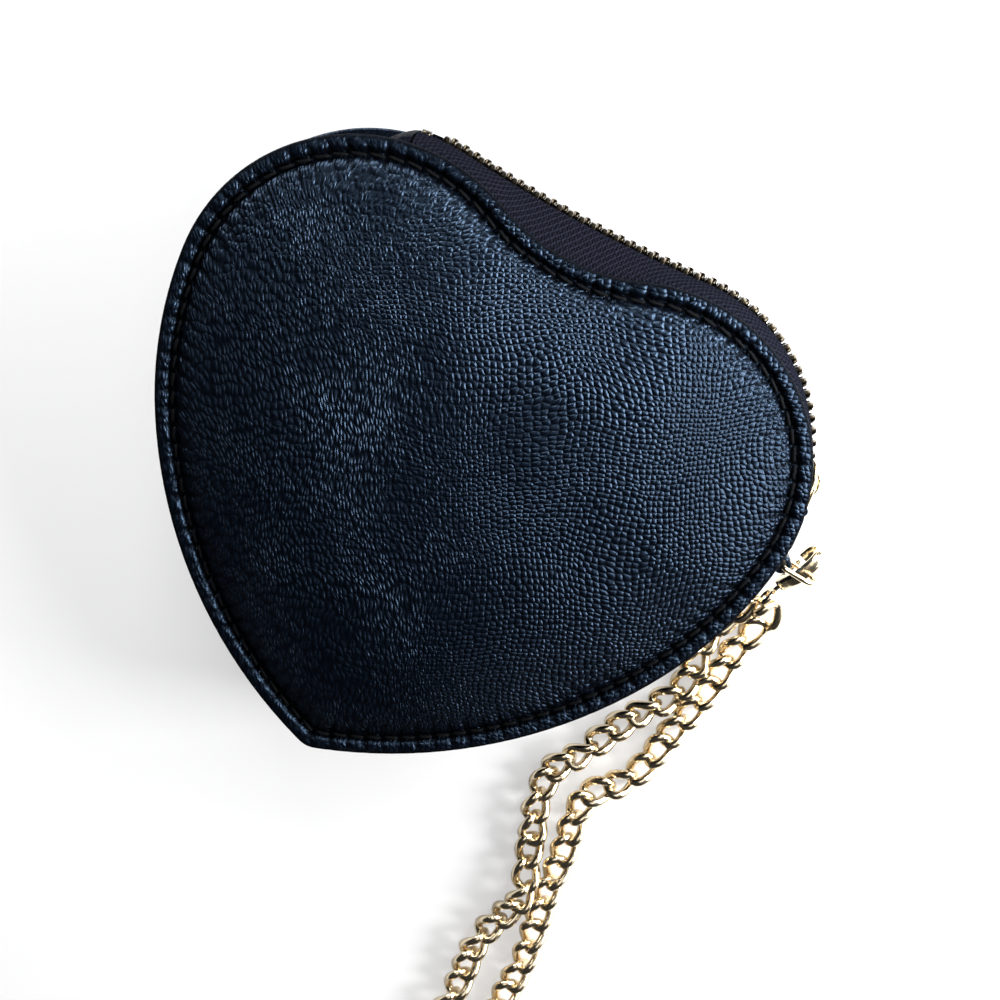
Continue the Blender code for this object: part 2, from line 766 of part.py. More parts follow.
def clasp_frame():
    """Place and axes of the clasp: x towards its nose, y up and z across it."""
    reach = RING_LEG + RING_HEIGHT / 2 * math.cos(HOOK_PLACE)
    drop = RING_HEIGHT / 2 * math.sin(HOOK_PLACE) + HOOK_HANG
    place = tab_frame() @ Vector((reach, 0, -drop))
    along = Vector((math.cos(CLASP_HEADING), math.sin(CLASP_HEADING), 0))
    up = Vector((0, 0, 1))
    axes = Matrix((along, up, along.cross(up))).transposed().to_4x4()
    return Matrix.Translation(place) @ axes


def clasp_body():
    """The hook and its tapered tail, slotted for the lever and bored for the swivel."""
    half = math.pi / 2
    nose = (HOOK_STRETCH, 0)
    outline = [(-CLASP_TAIL, -TAIL_HALF_WIDTH), *CLASP_BELLY]
    outline += circle((0, 0), HOOK_INNER, math.radians(215), half, 8)
    outline += circle(nose, HOOK_INNER, half, -half, 9)
    outline += [(GATE_FRONT, -HOOK_INNER), (GATE_FRONT, -HOOK_OUTER)]
    outline += circle(nose, HOOK_OUTER, -half, half, 11)
    outline += circle((0, 0), HOOK_OUTER, half, math.radians(140), 5)
    outline += [(-CLASP_TAIL, TAIL_HALF_WIDTH)]
    body = plate("clasp_body", [outline], CLASP_THICKNESS, GOLD)
    body.matrix_world = clasp_frame()
    body = as_mesh(body)
    slot = plate("lever_slot", [LEVER_SLOT], LEVER_THICKNESS + 2 * LEVER_CLEARANCE, GOLD)
    slot.matrix_world = clasp_frame()
    hole = plate("pin_hole", [ring_of(LEVER_PIVOT, PIN_RADIUS + PIN_CLEARANCE)], CUTTER_DEPTH, GOLD)
    hole.matrix_world = clasp_frame()
    bore = plate("swivel_bore", [ring_of((0, 0), STEM_BORE / 2, 16)], CUTTER_DEPTH - 0.0010, GOLD)
    tail_end = clasp_frame() @ Matrix.Translation((-CLASP_TAIL, 0, 0))
    bore.matrix_world = tail_end @ Matrix.Rotation(half, 4, "Y")
    for cutter in (slot, hole, bore):
        combine(body, as_mesh(cutter), "DIFFERENCE")
    return body


def clasp_lever():
    """The sprung gate that closes the hook from below."""
    x, y = LEVER_PIVOT
    boss = circle((x, y), LEVER_BOSS, math.radians(60), math.radians(250), 9)
    outline = [*boss, *LEVER_TONGUE]
    hole = ring_of((x, y), PIN_RADIUS + PIN_CLEARANCE)
    made = plate("clasp_lever", [outline, hole], LEVER_THICKNESS, GOLD)
    made.matrix_world = clasp_frame()
    return made


def lever_pin():
    made = plate("lever_pin", [ring_of(LEVER_PIVOT, PIN_RADIUS)], CLASP_THICKNESS, GOLD)
    made.matrix_world = clasp_frame()
    return made


def lever_spring():
    """Bent wire in the slot, between the clasp's tail and the lever's boss."""
    x, y = LEVER_PIVOT
    height = y + LEVER_BOSS + SPRING_ABOVE
    line = [(x + bend, height + drop, 0) for bend, drop in SPRING_BENDS]
    made = wire("lever_spring", line, SPRING_WIRE, GOLD, resolution=1)
    made.matrix_world = clasp_frame()
    return made


EYE_PLACE = -CLASP_TAIL - GAP - EYE_WIRE / 2 - EYE_RADIUS - EYE_WIRE / 2


def swivel_eye():
    """The ring that the chain's end links go through, turning on a stem in the clasp's tail."""
    ring_line = [(x, y, 0) for x, y in ring_of((EYE_PLACE, 0), EYE_RADIUS, 16)]
    ring = wire("swivel_eye", ring_line, EYE_WIRE, GOLD, cyclic=True)
    ring.matrix_world = clasp_frame()
    ring = as_mesh(ring)
    start = EYE_PLACE + EYE_RADIUS
    stem = wire("eye_stem", [(start, 0, 0), (start + STEM_LENGTH, 0, 0)], EYE_STEM, GOLD)
    stem.matrix_world = clasp_frame()
    combine(ring, as_mesh(stem), "UNION")
    return ring


# Wrist chain: one loop whose two ends meet at the swivel eye

CHAIN_REST_Z = CHAIN_THICKNESS / 2 + 0.0001
CHAIN_ROUTE = (
    (0.0678, 0.0056, 0.0046),
    (0.0675, 0.0005, 0.0030),
    (0.0666, -0.0057, 0.0022),
    (0.0664, -0.0120, None),
    (0.0659, -0.0178, None),
    (0.0648, -0.0239, None),
    (0.0639, -0.0300, None),
    (0.0629, -0.0360, None),
    (0.0606, -0.0413, None),
    (0.0572, -0.0452, None),
    (0.0560, -0.0504, None),
    (0.0572, -0.0561, None),
    (0.0584, -0.0621, None),
    (0.0590, -0.0682, None),
    (0.0602, -0.0741, None),
    (0.0614, -0.0802, None),
    (0.0627, -0.0870, None),
    (0.0631, -0.0945, None),
    (0.0632, -0.1015, None),
    (0.0637, -0.1085, None),
    (0.0639, -0.1160, None),
    (0.0624, -0.1238, None),
    (0.0580, -0.1268, None),
    (0.0543, -0.1236, None),
    (0.0532, -0.1165, None),
    (0.0535, -0.1095, None),
    (0.0535, -0.1028, None),
    (0.0530, -0.0964, None),
    (0.0521, -0.0896, None),
    (0.0530, -0.0828, 0.0020),
    (0.0546, -0.0772, 0.0030),
    (0.0550, -0.0719, 0.0038),
    (0.0526, -0.0664, 0.0028),
    (0.0507, -0.0604, None),
    (0.0484, -0.0546, None),
    (0.0472, -0.0486, None),
    (0.0480, -0.0435, None),
    (0.0506, -0.0392, None),
    (0.0529, -0.0342, None),
    (0.0550, -0.0291, None),
    (0.0572, -0.0246, None),
    (0.0600, -0.0203, None),
    (0.0616, -0.0158, None),
    (0.0612, -0.0112, None),
    (0.0603, -0.0064, None),
    (0.0607, -0.0014, 0.0020),
    (0.0622, 0.0032, 0.0040),
)


def smooth_line(points, step):
    """Points at even steps on a smooth curve through the route (Catmull-Rom)."""
    ends = [2 * points[0] - points[1], *points, 2 * points[-1] - points[-2]]
    fine = []
    for a, b, c, d in zip(ends, ends[1:], ends[2:], ends[3:]):
        for t in np.linspace(0, 1, 12, endpoint=False):
            curve = 2 * b + (c - a) * t + (2 * a - 5 * b + 4 * c - d) * t**2
            fine.append((curve + (3 * b - a - 3 * c + d) * t**3) / 2)
    fine = np.array([*fine, points[-1]])
    lengths = np.concatenate([[0.0], np.cumsum(np.linalg.norm(np.diff(fine, axis=0), axis=1))])
    at = np.linspace(0, lengths[-1], round(lengths[-1] / step) + 1)
    return np.stack([np.interp(at, lengths, fine[:, k]) for k in range(3)], axis=1)


def wrist_chain():
    """The chain's loop as a plain round cord along its route."""
    frame = clasp_frame()
    end = EYE_PLACE - EYE_RADIUS - EYE_WIRE / 2 - 2 * GAP
    ends = [np.array(frame @ Vector((end, 0, side * CHAIN_SPACING / 2))) for side in (1, -1)]
    route = [np.array((x, y, z or CHAIN_REST_Z)) for x, y, z in CHAIN_ROUTE]
    line = smooth_line([ends[0], *route, ends[1]], CHAIN_STEP)
    return wire("wrist_chain", line, CHAIN_THICKNESS, GOLD)


for old in list(bpy.data.objects):
    bpy.data.objects.remove(old)
PARTS = bpy.data.collections.new("wristlet_pouch")
CUTTERS = bpy.data.collections.new("cutters")
bpy.context.scene.collection.children.link(PARTS)
bpy.context.scene.collection.children.link(CUTTERS)
SKIN = material("crosshatch_leather", LEATHER_COLOUR, 0.45, 0.0)
CLOTH = material("lining_cloth", LINING_COLOUR, 0.8, 0.0)
FOAM = material("padded_board", BOARD_COLOUR, 0.9, 0.0)
WOVEN = material("zip_tape", TAPE_COLOUR, 0.8, 0.0)
GOLD = material("pale_gold", GOLD_COLOUR, 0.22, 1.0)

back_panel()
flat_sheet("back_board", BOARD_SHARE, BACK_FLANGE_Z, BACK_BOARD, FOAM)
flat_sheet("back_lining", LINING_SHARE, BACK_FLANGE_Z + BACK_BOARD + GAP, LINING, CLOTH)
gusset_band()
gusset_lining()
zip_tape("back_zip_tape", -1)
teeth_row("back_zip_teeth", -1)
bottom_stop, front_stop, back_stop = stops()

chord = middle_spot(ZIP_START)[0] - middle_spot(ZIP_END)[0]
chord /= np.linalg.norm(chord)
away = np.array((-chord[1], chord[0]))
outline = rim_ring(0)
hinge_point = outline[np.argmin(outline @ away)]
mouth = pivot("mouth_hinge", (*hinge_point, RIM_Z - GAP / 2))
for piece in (
    front_panel(),
    front_board(),
    flat_sheet("front_lining", LINING_SHARE, RIM_Z - 4 * GAP - LINING, LINING, CLOTH),
    zip_tape("front_zip_tape", 1),
    teeth_row("front_zip_teeth", 1),
    front_stop,
):
    hold(piece, mouth)

slider_pivot = pivot("slider_pivot", (*ZIP_CENTRE, MIDDLE_Z))
hold(zip_slider(), slider_pivot)
pull_pivot = pivot("pull_pivot", pull_frame().translation, slider_pivot)
for piece in zip_pull():
    hold(piece, pull_pivot)

ring_tab()
ring_pivot = pivot("ring_pivot", tab_frame().translation)
hold(d_ring(), ring_pivot)
clasp_pivot = pivot("clasp_pivot", clasp_frame().translation, ring_pivot)
hold(clasp_body(), clasp_pivot)
hold(lever_pin(), clasp_pivot)
hold(lever_spring(), clasp_pivot)
lever_pivot = pivot("lever_pivot", clasp_frame() @ Vector((*LEVER_PIVOT, 0)), clasp_pivot)
hold(clasp_lever(), lever_pivot)
eye_pivot = pivot("eye_pivot", clasp_frame() @ Vector((EYE_PLACE, 0, 0)), clasp_pivot)
hold(swivel_eye(), eye_pivot)
wrist_chain()
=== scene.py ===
import json
import math

import bmesh
import bpy
import numpy as np
from bpy.props import FloatProperty, FloatVectorProperty, PointerProperty
from mathutils import Matrix, Vector


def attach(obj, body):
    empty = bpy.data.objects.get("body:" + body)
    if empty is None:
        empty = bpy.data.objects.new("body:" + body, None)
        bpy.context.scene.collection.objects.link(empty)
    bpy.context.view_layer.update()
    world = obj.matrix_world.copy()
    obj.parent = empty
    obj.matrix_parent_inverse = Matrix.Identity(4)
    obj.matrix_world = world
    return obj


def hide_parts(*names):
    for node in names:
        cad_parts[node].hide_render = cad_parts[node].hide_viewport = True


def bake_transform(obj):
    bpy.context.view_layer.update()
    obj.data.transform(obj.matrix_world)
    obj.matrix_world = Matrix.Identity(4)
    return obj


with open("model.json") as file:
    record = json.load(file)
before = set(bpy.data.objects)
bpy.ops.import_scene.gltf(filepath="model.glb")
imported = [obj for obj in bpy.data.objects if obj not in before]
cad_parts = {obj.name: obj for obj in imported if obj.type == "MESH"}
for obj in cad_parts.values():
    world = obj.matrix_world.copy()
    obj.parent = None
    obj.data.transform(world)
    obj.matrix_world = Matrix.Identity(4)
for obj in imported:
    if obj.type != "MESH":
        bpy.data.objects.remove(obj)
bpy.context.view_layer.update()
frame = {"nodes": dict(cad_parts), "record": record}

bl_info = {
    "name": "Heart Wristlet Pouch",
    "version": (1, 0, 0),
    "blender": (4, 5, 0),
    "location": "3D View > Sidebar > Pouch",
    "description": "Builds a heart-shaped zip pouch with a curb-chain wrist loop",
    "category": "Add Mesh",
}

MM = 0.001

# Heart outline, the same arcs as in the model: tip, side, hip and lobe of the right half
RADII = (4.5 * MM, 93 * MM, 75 * MM, 33.7 * MM)
TURNS = tuple(map(math.radians, (20, 43, 24)))
CLEFT_TURN = math.radians(22.5)
ZIP_CLEFT_TURN = math.radians(5)
ZIP_START_ANGLE = math.radians(2)
ZIP_END_ANGLE = math.radians(80)
SECTIONS = 5
LOBE = RADII[3]

# Heights of the pouch's layers, and the gusset's offsets from the outline
BACK_TOP = 1.2 * MM
GUSSET_LOW = 1.5 * MM
GUSSET_HIGH = 20.5 * MM
RIM_Z = 20.8 * MM
RIM_TOP = 22.0 * MM
MIDDLE_Z = 11.0 * MM
GUSSET_INSET = 1.7 * MM
BULGE_RUN = 8 * MM
ZIP_RADIUS = 31.38 * MM
ZIP_SHIFT = np.array((0.72, 3.65)) * MM
PANEL_INSET = 4.0 * MM
END_GAP = 0.4 * MM

# Zip: the slider's place and half length, and the sizes and places of tapes, teeth and stops
SLIDER_PARK = math.radians(14)
SLIDER_HALF = 4.25 * MM
TOOTH_PITCH = 2.3 * MM
LINK_RADIUS = 34.03 * MM
PLATE_OUT = 1.85 * MM
TAPE_THICK = 0.6 * MM
TOP_STOP = 4.4 * MM
BOTTOM_STOP = 1.3 * MM
STOP_REACH = 2.85 * MM

# Camera: pixels per millimetre at the front rim, focal length in pixels and the two tilts
PICTURE = 1000
FOCAL = 1600
SCALE = 5.5 / MM
TILT = math.radians(16)
YAW = math.radians(4)
ROLL = math.radians(28.66)
CENTRE = np.array((10.048, 6.022, 22.0)) * MM

# Turns, and the ring's and clasp's places in the model's millimetres
GRAIN_TURN = math.radians(27.5)
PULL_LEAN = math.radians(6)
TAB_TURN = math.radians(-4.574)
CLASP_TURN = math.radians(72.2)
RING_PLACE = (62.93, 17.75, 11.0)
CLASP_PLACE = (68.18, 17.33, 6.34)

# Wrist chain: its resting height, how its links roll, and its route, the same points as in the
# model, each as x, y and, where it is lifted, z
CHAIN_REST_Z = 1.6 * MM
LINK_LEAN = math.radians(10)
LINK_SWAY = math.radians(16)
CHAIN_ENDS = ((66.28, 5.86, 6.34), (63.05, 6.90, 6.34))
CHAIN_POINTS = (
    (0.0678, 0.0056, 0.0046), (0.0675, 0.0005, 0.0030), (0.0666, -0.0057, 0.0022),
    (0.0664, -0.0120), (0.0659, -0.0178), (0.0648, -0.0239), (0.0639, -0.0300), (0.0629, -0.0360),
    (0.0606, -0.0413), (0.0572, -0.0452), (0.0560, -0.0504), (0.0572, -0.0561), (0.0584, -0.0621),
    (0.0590, -0.0682), (0.0602, -0.0741), (0.0614, -0.0802), (0.0627, -0.0870), (0.0631, -0.0945),
    (0.0632, -0.1015), (0.0637, -0.1085), (0.0639, -0.1160), (0.0624, -0.1238), (0.0580, -0.1268),
    (0.0543, -0.1236), (0.0532, -0.1165), (0.0535, -0.1095), (0.0535, -0.1028), (0.0530, -0.0964),
    (0.0521, -0.0896), (0.0530, -0.0828, 0.0020), (0.0546, -0.0772, 0.0030),
    (0.0550, -0.0719, 0.0038), (0.0526, -0.0664, 0.0028), (0.0507, -0.0604), (0.0484, -0.0546),
    (0.0472, -0.0486), (0.0480, -0.0435), (0.0506, -0.0392), (0.0529, -0.0342), (0.0550, -0.0291),
    (0.0572, -0.0246), (0.0600, -0.0203), (0.0616, -0.0158), (0.0612, -0.0112), (0.0603, -0.0064),
    (0.0607, -0.0014, 0.0020), (0.0622, 0.0032, 0.0040),
)

# Samples along a whole outline and along a part of one
OUTLINE_SAMPLES = 8001
LINE_SAMPLES = 4000


def size_prop(name, description, millimetres):
    return FloatProperty(
        name=name, description=description, default=millimetres * MM, unit="LENGTH")


def tint_prop(name, description, *colour):
    return FloatVectorProperty(
        name=name, description=description, default=colour, size=3, subtype="COLOR")


def power_prop(name, description, watts):
    return FloatProperty(name=name, description=description, default=watts, subtype="POWER")


def share_prop(name, description, part):
    return FloatProperty(name=name, description=description, default=part, subtype="FACTOR")


class HeartShape(bpy.types.PropertyGroup):
    crown: size_prop("Crown", "Rise of the padded front above its seam", 3.4)
    groove: size_prop("Groove inset", "Distance of the seam's groove from the edge", 3.3)
    groove_depth: size_prop("Groove depth", "Depth of the seam's groove below the rim", 1.0)
    pucker: size_prop("Pucker", "How far the leather draws in at each stitch hole", 0.5)
    stitch_pitch: size_prop("Stitch pitch", "Distance between stitches", 3.3)
    thread: size_prop("Thread", "Thickness of the sewing thread", 0.65)


class Hardware(bpy.types.PropertyGroup):
    link_pitch: size_prop("Link pitch", "Distance between the chain's links", 5.3)
    link_length: size_prop("Link length", "Outside length of a chain link", 8.2)
    link_width: size_prop("Link width", "Outside width of a chain link", 6.2)
    link_wire: size_prop("Link wire", "Thickness of the chain's wire", 1.85)
    ring_wire: size_prop("Ring wire", "Thickness of the D-ring's wire", 1.0)


class Colours(bpy.types.PropertyGroup):
    sheen: tint_prop("Sheen", "Tint of the leather's reflections", 0.38, 0.62, 1.0)
    # The grain's creases take the leather colour and its cell tops leather_high: painted shade in
    # the creases.
    leather: tint_prop("Leather", "Colour of the leather", 0.0002, 0.0004, 0.0011)
    leather_high: tint_prop(
        "Leather grain", "Colour on top of the leather's grain", 0.0004, 0.0010, 0.0030)
    thread: tint_prop("Thread", "Colour of the sewing thread", 0.0006, 0.0008, 0.0014)
    tape: tint_prop("Zip tape", "Colour of the woven zip tape", 0.0032, 0.0035, 0.0056)
    lining: tint_prop("Lining", "Colour of the lining cloth", 0.020, 0.022, 0.027)
    gold: tint_prop("Gold", "Colour of the metal", 0.86, 0.72, 0.50)
    floor: tint_prop("Floor", "Colour of the floor", 0.90, 0.90, 0.90)


class StageLook(bpy.types.PropertyGroup):
    key: power_prop("Key light", "Power of the low light at the right", 1.0)
    side: power_prop("Side light", "Power of the soft light at the lower right", 6.0)
    top: power_prop("Top light", "Power of the soft light beyond the lobes", 2.7)
    corner: power_prop("Corner light", "Power of the light beyond the left lobe", 0.45)
    over: power_prop("Overhead light", "Power of the large soft light above the camera", 0.85)
    near: power_prop("Near light", "Power of the small light over the right lobe", 0.22)
    sky: share_prop("Sky", "Strength of the even light from all round", 0.04)
    lift: share_prop("Floor lift", "Share of plain white in the floor as the camera sees it", 0.5)


# Heart outline


def across(heading):
    """Unit vector to the right of a heading: (sin h, -cos h), outwards on the outline."""
    return np.stack([np.sin(heading), -np.cos(heading)], axis=-1)


def heart_arcs(cleft_turn):
    """Centres, signed radii, first headings and turns of the right half's five tangent arcs."""
    radii = np.array([*RADII, 0.0])
    turns = np.array([*TURNS, math.pi + cleft_turn - sum(TURNS), cleft_turn])
    starts = np.concatenate([[0.0], np.cumsum(turns[:4])])
    centres = []
    place = np.zeros(2)
    for k in range(SECTIONS):
        if k == SECTIONS - 1:
            radii[k] = -place[0] / math.sin(cleft_turn)
        centres.append(place - radii[k] * across(starts[k]))
        end = starts[k] + math.copysign(turns[k], radii[k])
        place = centres[k] + radii[k] * across(end)
    centres = np.array(centres)
    centres[:, 1] -= (centres[3, 1] + LOBE) / 2
    return centres, radii, starts, turns


RIM_ARCS = heart_arcs(CLEFT_TURN)
ZIP_ARCS = heart_arcs(ZIP_CLEFT_TURN)
LOBE_CENTRE = RIM_ARCS[0][3]
ZIP_CENTRE = LOBE_CENTRE + ZIP_SHIFT
LOBE_START = RIM_ARCS[2][3] - math.pi / 2
LOBE_SPAN = ZIP_END_ANGLE - LOBE_START
ZIP_START = 3 + (ZIP_START_ANGLE - LOBE_START) / LOBE_SPAN
ZIP_END = 2.0 * SECTIONS - 4
HIP_LENGTH = RADII[2] * TURNS[2]
LOBE_LENGTH = LOBE * LOBE_SPAN


def spots(u, arcs):
    """Points and outward directions of an outline at the values u.

    u is 0 at the tip and grows by 1 over each of the tip, side, hip, lobe up to the zip's end
    angle, and the bridge from there to the cleft, and then runs down the left half to 10. A point
    is centre + radius * across(heading), and the left half is the right one mirrored in x.
    """
    centres, radii, starts, turns = arcs
    u = np.mod(u, 2 * SECTIONS)
    side = np.where(u <= SECTIONS, 1.0, -1.0)
    v = np.minimum(u, 2 * SECTIONS - u)
    k = np.minimum(v.astype(int), SECTIONS - 1)
    share = v - k
    lobe_share = LOBE_SPAN / turns[3]
    rest = LOBE * turns[3] * (1 - lobe_share)
    cleft = -radii[4] * turns[4]
    run = share * (rest + cleft)
    past = (k == 4) & (run > rest)
    arc = np.where(past, 4, np.minimum(k, 3))
    along = np.where(k == 3, share * lobe_share, share)
    along = np.where(k == 4, lobe_share + run / (LOBE * turns[3]), along)
    along = np.where(past, (run - rest) / cleft, along)
    heading = starts[arc] + np.sign(radii[arc]) * turns[arc] * along
    out = across(heading)
    point = centres[arc] + radii[arc][:, None] * out
    mirror = np.stack([side, np.ones_like(side)], axis=-1)
    return point * mirror, out * mirror


def smooth(x):
    """The curve 3x^2 - 2x^3 between 0 and 1."""
    x = np.clip(x, 0, 1)
    return x * x * (3 - 2 * x)


def lobe_bulge(angle):
    """How far the zip's own arc stands outside the lobe at an angle about the lobe's centre."""
    towards = np.cos(angle) * ZIP_SHIFT[0] + np.sin(angle) * ZIP_SHIFT[1]
    return towards + np.sqrt(ZIP_RADIUS**2 - ZIP_SHIFT @ ZIP_SHIFT + towards**2) - LOBE


def bulge(u):
    """How far the gusset stands outside the outline at half its depth, as in the model."""
    u = np.mod(u, 2 * SECTIONS)
    far = u > ZIP_END
    left = np.minimum(u - ZIP_END, 2 * SECTIONS + ZIP_START - u) * LOBE_LENGTH
    right = np.maximum(ZIP_START - u, 0) * HIP_LENGTH
    share = np.clip(u, ZIP_START, 4.0) - 3
    angle = np.where(far, ZIP_END_ANGLE, LOBE_START + share * LOBE_SPAN)
    zip_bulge = lobe_bulge(angle)
    return zip_bulge - (zip_bulge + GUSSET_INSET) * smooth(np.where(far, left, right) / BULGE_RUN)


def middle_spots(u):
    """Points and outward directions of the line halfway up the side, with its bulge."""
    point, out = spots(u, ZIP_ARCS)
    return point + bulge(u)[:, None] * out, out


def rim_spots(u):
    """Points and outward directions of the rim's outline."""
    return spots(u, RIM_ARCS)


def distances(line):
    """How far each point of a line is from its first one, along the line."""
    steps = np.linalg.norm(np.diff(line, axis=0), axis=1)
    return np.concatenate([[0.0], np.cumsum(steps)])


def lengths_along(line, start, end):
    """Many values of u between start and end, and their distances along a line."""
    u = np.linspace(start, end, LINE_SAMPLES)
    return u, distances(line(u)[0])


def even_u(line, start, end, step):
    """Values of u from start to end at nearly even distances along a line."""
    u, length = lengths_along(line, start, end)
    count = max(2, round(length[-1] / step) + 1)
    return np.interp(np.linspace(0, length[-1], count), length, u)


def gusset_grid(u, profile):
    """One row per u and one column per profile point (weight, offset, height).

    A point lies between the rim outline (weight 0) and the bulged middle line (weight 1), moved
    outwards by its offset.
    """
    weight, offset, z = np.array(profile).T[:, None, :, None]
    rim, rim_out = rim_spots(u)
    middle, middle_out = middle_spots(u)
    low = rim[:, None] + offset * rim_out[:, None]
    high = middle[:, None] + offset * middle_out[:, None]
    flat = low + weight * (high - low)
    return np.concatenate([flat, np.broadcast_to(z, flat.shape[:2] + (1,))], axis=-1)


# Meshes


def unit(vectors):
    """Vectors divided by their lengths."""
    return vectors / np.linalg.norm(vectors, axis=-1, keepdims=True)


def lifted(flat, z):
    """Points (x, y) with a height, or with one height each, as (x, y, z)."""
    return np.concatenate([flat, np.broadcast_to(z, (len(flat),))[:, None]], axis=1)


def grid_faces(rows, columns, wrap_rows=False, wrap_columns=False):
    """Quads of a grid of points that is numbered row by row, closed on itself where asked."""
    i = np.arange(rows if wrap_rows else rows - 1)[:, None]
    j = np.arange(columns if wrap_columns else columns - 1)[None]
    this, after = i * columns, (i + 1) % rows * columns
    m = (j + 1) % columns
    return np.stack([this + j, this + m, after + m, after + j], axis=-1).reshape(-1, 4)


def make(name, points, faces, surface, uv=None, sharp=50):
    """A mesh object at the origin from an array of points and lists of faces, facing outwards."""
    mesh = bpy.data.meshes.new(name)
    mesh.from_pydata(points.reshape(-1, 3).tolist(), [], faces)
    if uv is not None:
        layer = mesh.uv_layers.new(name="UVMap")
        corners = np.empty(len(mesh.loops), dtype=np.int32)
        mesh.loops.foreach_get("vertex_index", corners)
        layer.uv.foreach_set("vector", uv.reshape(-1, 2)[corners].ravel())
    shape = bmesh.new()
    shape.from_mesh(mesh)
    bmesh.ops.recalc_face_normals(shape, faces=shape.faces)
    shape.to_mesh(mesh)
    shape.free()
    mesh.shade_smooth()
    mesh.set_sharp_from_angle(angle=math.radians(sharp))
    mesh.materials.append(surface)
    made = bpy.data.objects.new(name, mesh)
    bpy.context.scene.collection.objects.link(made)
    return made


def place(piece, body, slot, *nodes):
    """The piece rides on a body and stands for CAD nodes, which it hides. The slot is not used."""
    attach(piece, body)
    if nodes:
        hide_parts(*nodes)
    return piece


def band(name, grid, surface, sharp=50):
    """A closed solid from rows of equal closed profiles, with a face over each end."""
    along, around = distances(grid[:, 0]), distances(grid[0])
    uv = np.stack(np.broadcast_arrays(along[:, None], around), axis=-1)
    return solids(name, [grid], surface, uv, sharp)


def solids(name, grids, surface, uv=None, sharp=50):
    """One object of several closed solids. A grid is rows of closed profiles.

    A grid whose last row equals its first is closed on itself, and any other gets end faces.
    """
    points = []
    faces = []
    count = 0
    for grid in grids:
        rows, columns = grid.shape[:2]
        loop = np.allclose(grid[0], grid[-1], atol=1e-7)
        if loop:
            grid = grid[:-1]
            rows -= 1
        else:
            faces.append(list(range(count, count + columns)))
            faces.append(list(range(count + (rows - 1) * columns, count + rows * columns)))
        faces += (grid_faces(rows, columns, wrap_rows=loop, wrap_columns=True) + count).tolist()
        points.append(grid.reshape(-1, 3))
        count += rows * columns
    return make(name, np.concatenate(points), faces, surface, uv, sharp)


def shell(name, rings, low, high, surface, sharp=50):
    """A closed solid from rings of points and the two points that close it."""
    rows, columns = rings.shape[:2]
    faces = grid_faces(rows, columns, wrap_columns=True).tolist()
    last = rows * columns
    j = np.arange(columns)
    k = (j + 1) % columns
    start = last - columns
    faces += np.stack([np.full(columns, last), k, j], axis=-1).tolist()
    faces += np.stack([np.full(columns, last + 1), start + j, start + k], axis=-1).tolist()
    points = np.concatenate([rings.reshape(-1, 3), [low, high]])
    return make(name, points, faces, surface, sharp=sharp)


def strew(template, faces, places, frames):
    """Copies of a template's points: place + x * frame[0] + y * frame[1] + z * frame[2]."""
    points = places[:, None] + np.einsum("pk,nkc->npc", template, frames)
    shift = np.arange(len(places))[:, None, None] * len(template)
    return points.reshape(-1, 3), (faces[None] + shift).reshape(-1, faces.shape[1])


def copies(name, grid, places, frames, surface):
    """One object of many copies of a small grid of closed rings, each with its two end faces."""
    rows, columns = grid.shape[:2]
    faces = grid_faces(rows, columns, wrap_columns=True)
    points, faces = strew(grid.reshape(-1, 3), faces, places, frames)
    first = np.arange(0, len(points), rows * columns)[:, None] + np.arange(columns)
    caps = np.stack([first, first + (rows - 1) * columns], axis=1).reshape(-1, columns)
    return make(name, points, faces.tolist() + caps.tolist(), surface)


def section(sides, square):
    """Points (sgn(cos a)|cos a|^q, sgn(sin a)|sin a|^q) of a section, boxier as q gets lower."""
    angle = (np.arange(sides) + 0.5) * 2 * math.pi / sides
    ring = np.stack([np.cos(angle), np.sin(angle)])
    return np.sign(ring) * np.abs(ring) ** square


def per_point(value, line):
    """One number, or one for each point of a line, as an array with one for each point."""
    return np.broadcast_to(np.asarray(value, float), (len(line),))


def tube_grid(line, radius, sides, up=(0, 0, 1), closed=False, flat=1.0, square=1.0):
    """Rings of a section about a line and square to it: r * (wide * side + f * high * top).

    A closed line gets its first ring again at its end, and f (flat) is the height over the width.
    """
    if closed:
        tangent = np.roll(line, -1, axis=0) - np.roll(line, 1, axis=0)
    else:
        tangent = np.gradient(line, axis=0)
    tangent = unit(tangent)
    side = unit(np.cross(tangent, np.broadcast_to(np.asarray(up, float), line.shape)))
    top = np.cross(side, tangent)
    wide, high = section(sides, square)[..., None]
    radius, flat = (per_point(value, line)[:, None, None] for value in (radius, flat))
    grid = line[:, None] + radius * (wide * side[:, None] + flat * high * top[:, None])
    return np.concatenate([grid, grid[:1]]) if closed else grid


def rounded_ends(line, radius, count=5):
    """A line with its ends drawn out, and radii that close in there as sqrt(1 - s^2)."""
    radius = per_point(radius, line)
    s = np.sin(np.linspace(0, math.pi / 2, count + 1))[1:] * 0.995
    pieces = []
    for end, before, r in ((line[0], line[1], radius[0]), (line[-1], line[-2], radius[-1])):
        pieces.append((end + s[:, None] * r * unit(end - before), r * np.sqrt(1 - s**2)))
    (low, low_r), (high, high_r) = pieces
    return np.concatenate([low[::-1], line, high]), np.concatenate([low_r[::-1], radius, high_r])


def arc(centre, radius, start, end, count):
    """Points (x, y, 0) of an arc, from one angle to another in degrees."""
    a = np.radians(np.linspace(start, end, count))
    x, y = centre
    return np.stack([x + radius * np.cos(a), y + radius * np.sin(a), 0 * a], axis=-1)


def pad(xs, halves, thickness, sides=24, square=0.45):
    """A flat piece along x: half widths along y, and a boxy section with rounded edges along z."""
    wide, high = section(sides, square)
    xs, halves = np.array(xs, float)[:, None], np.array(halves, float)[:, None]
    return np.stack(np.broadcast_arrays(xs, halves * wide, thickness / 2 * high), axis=-1)


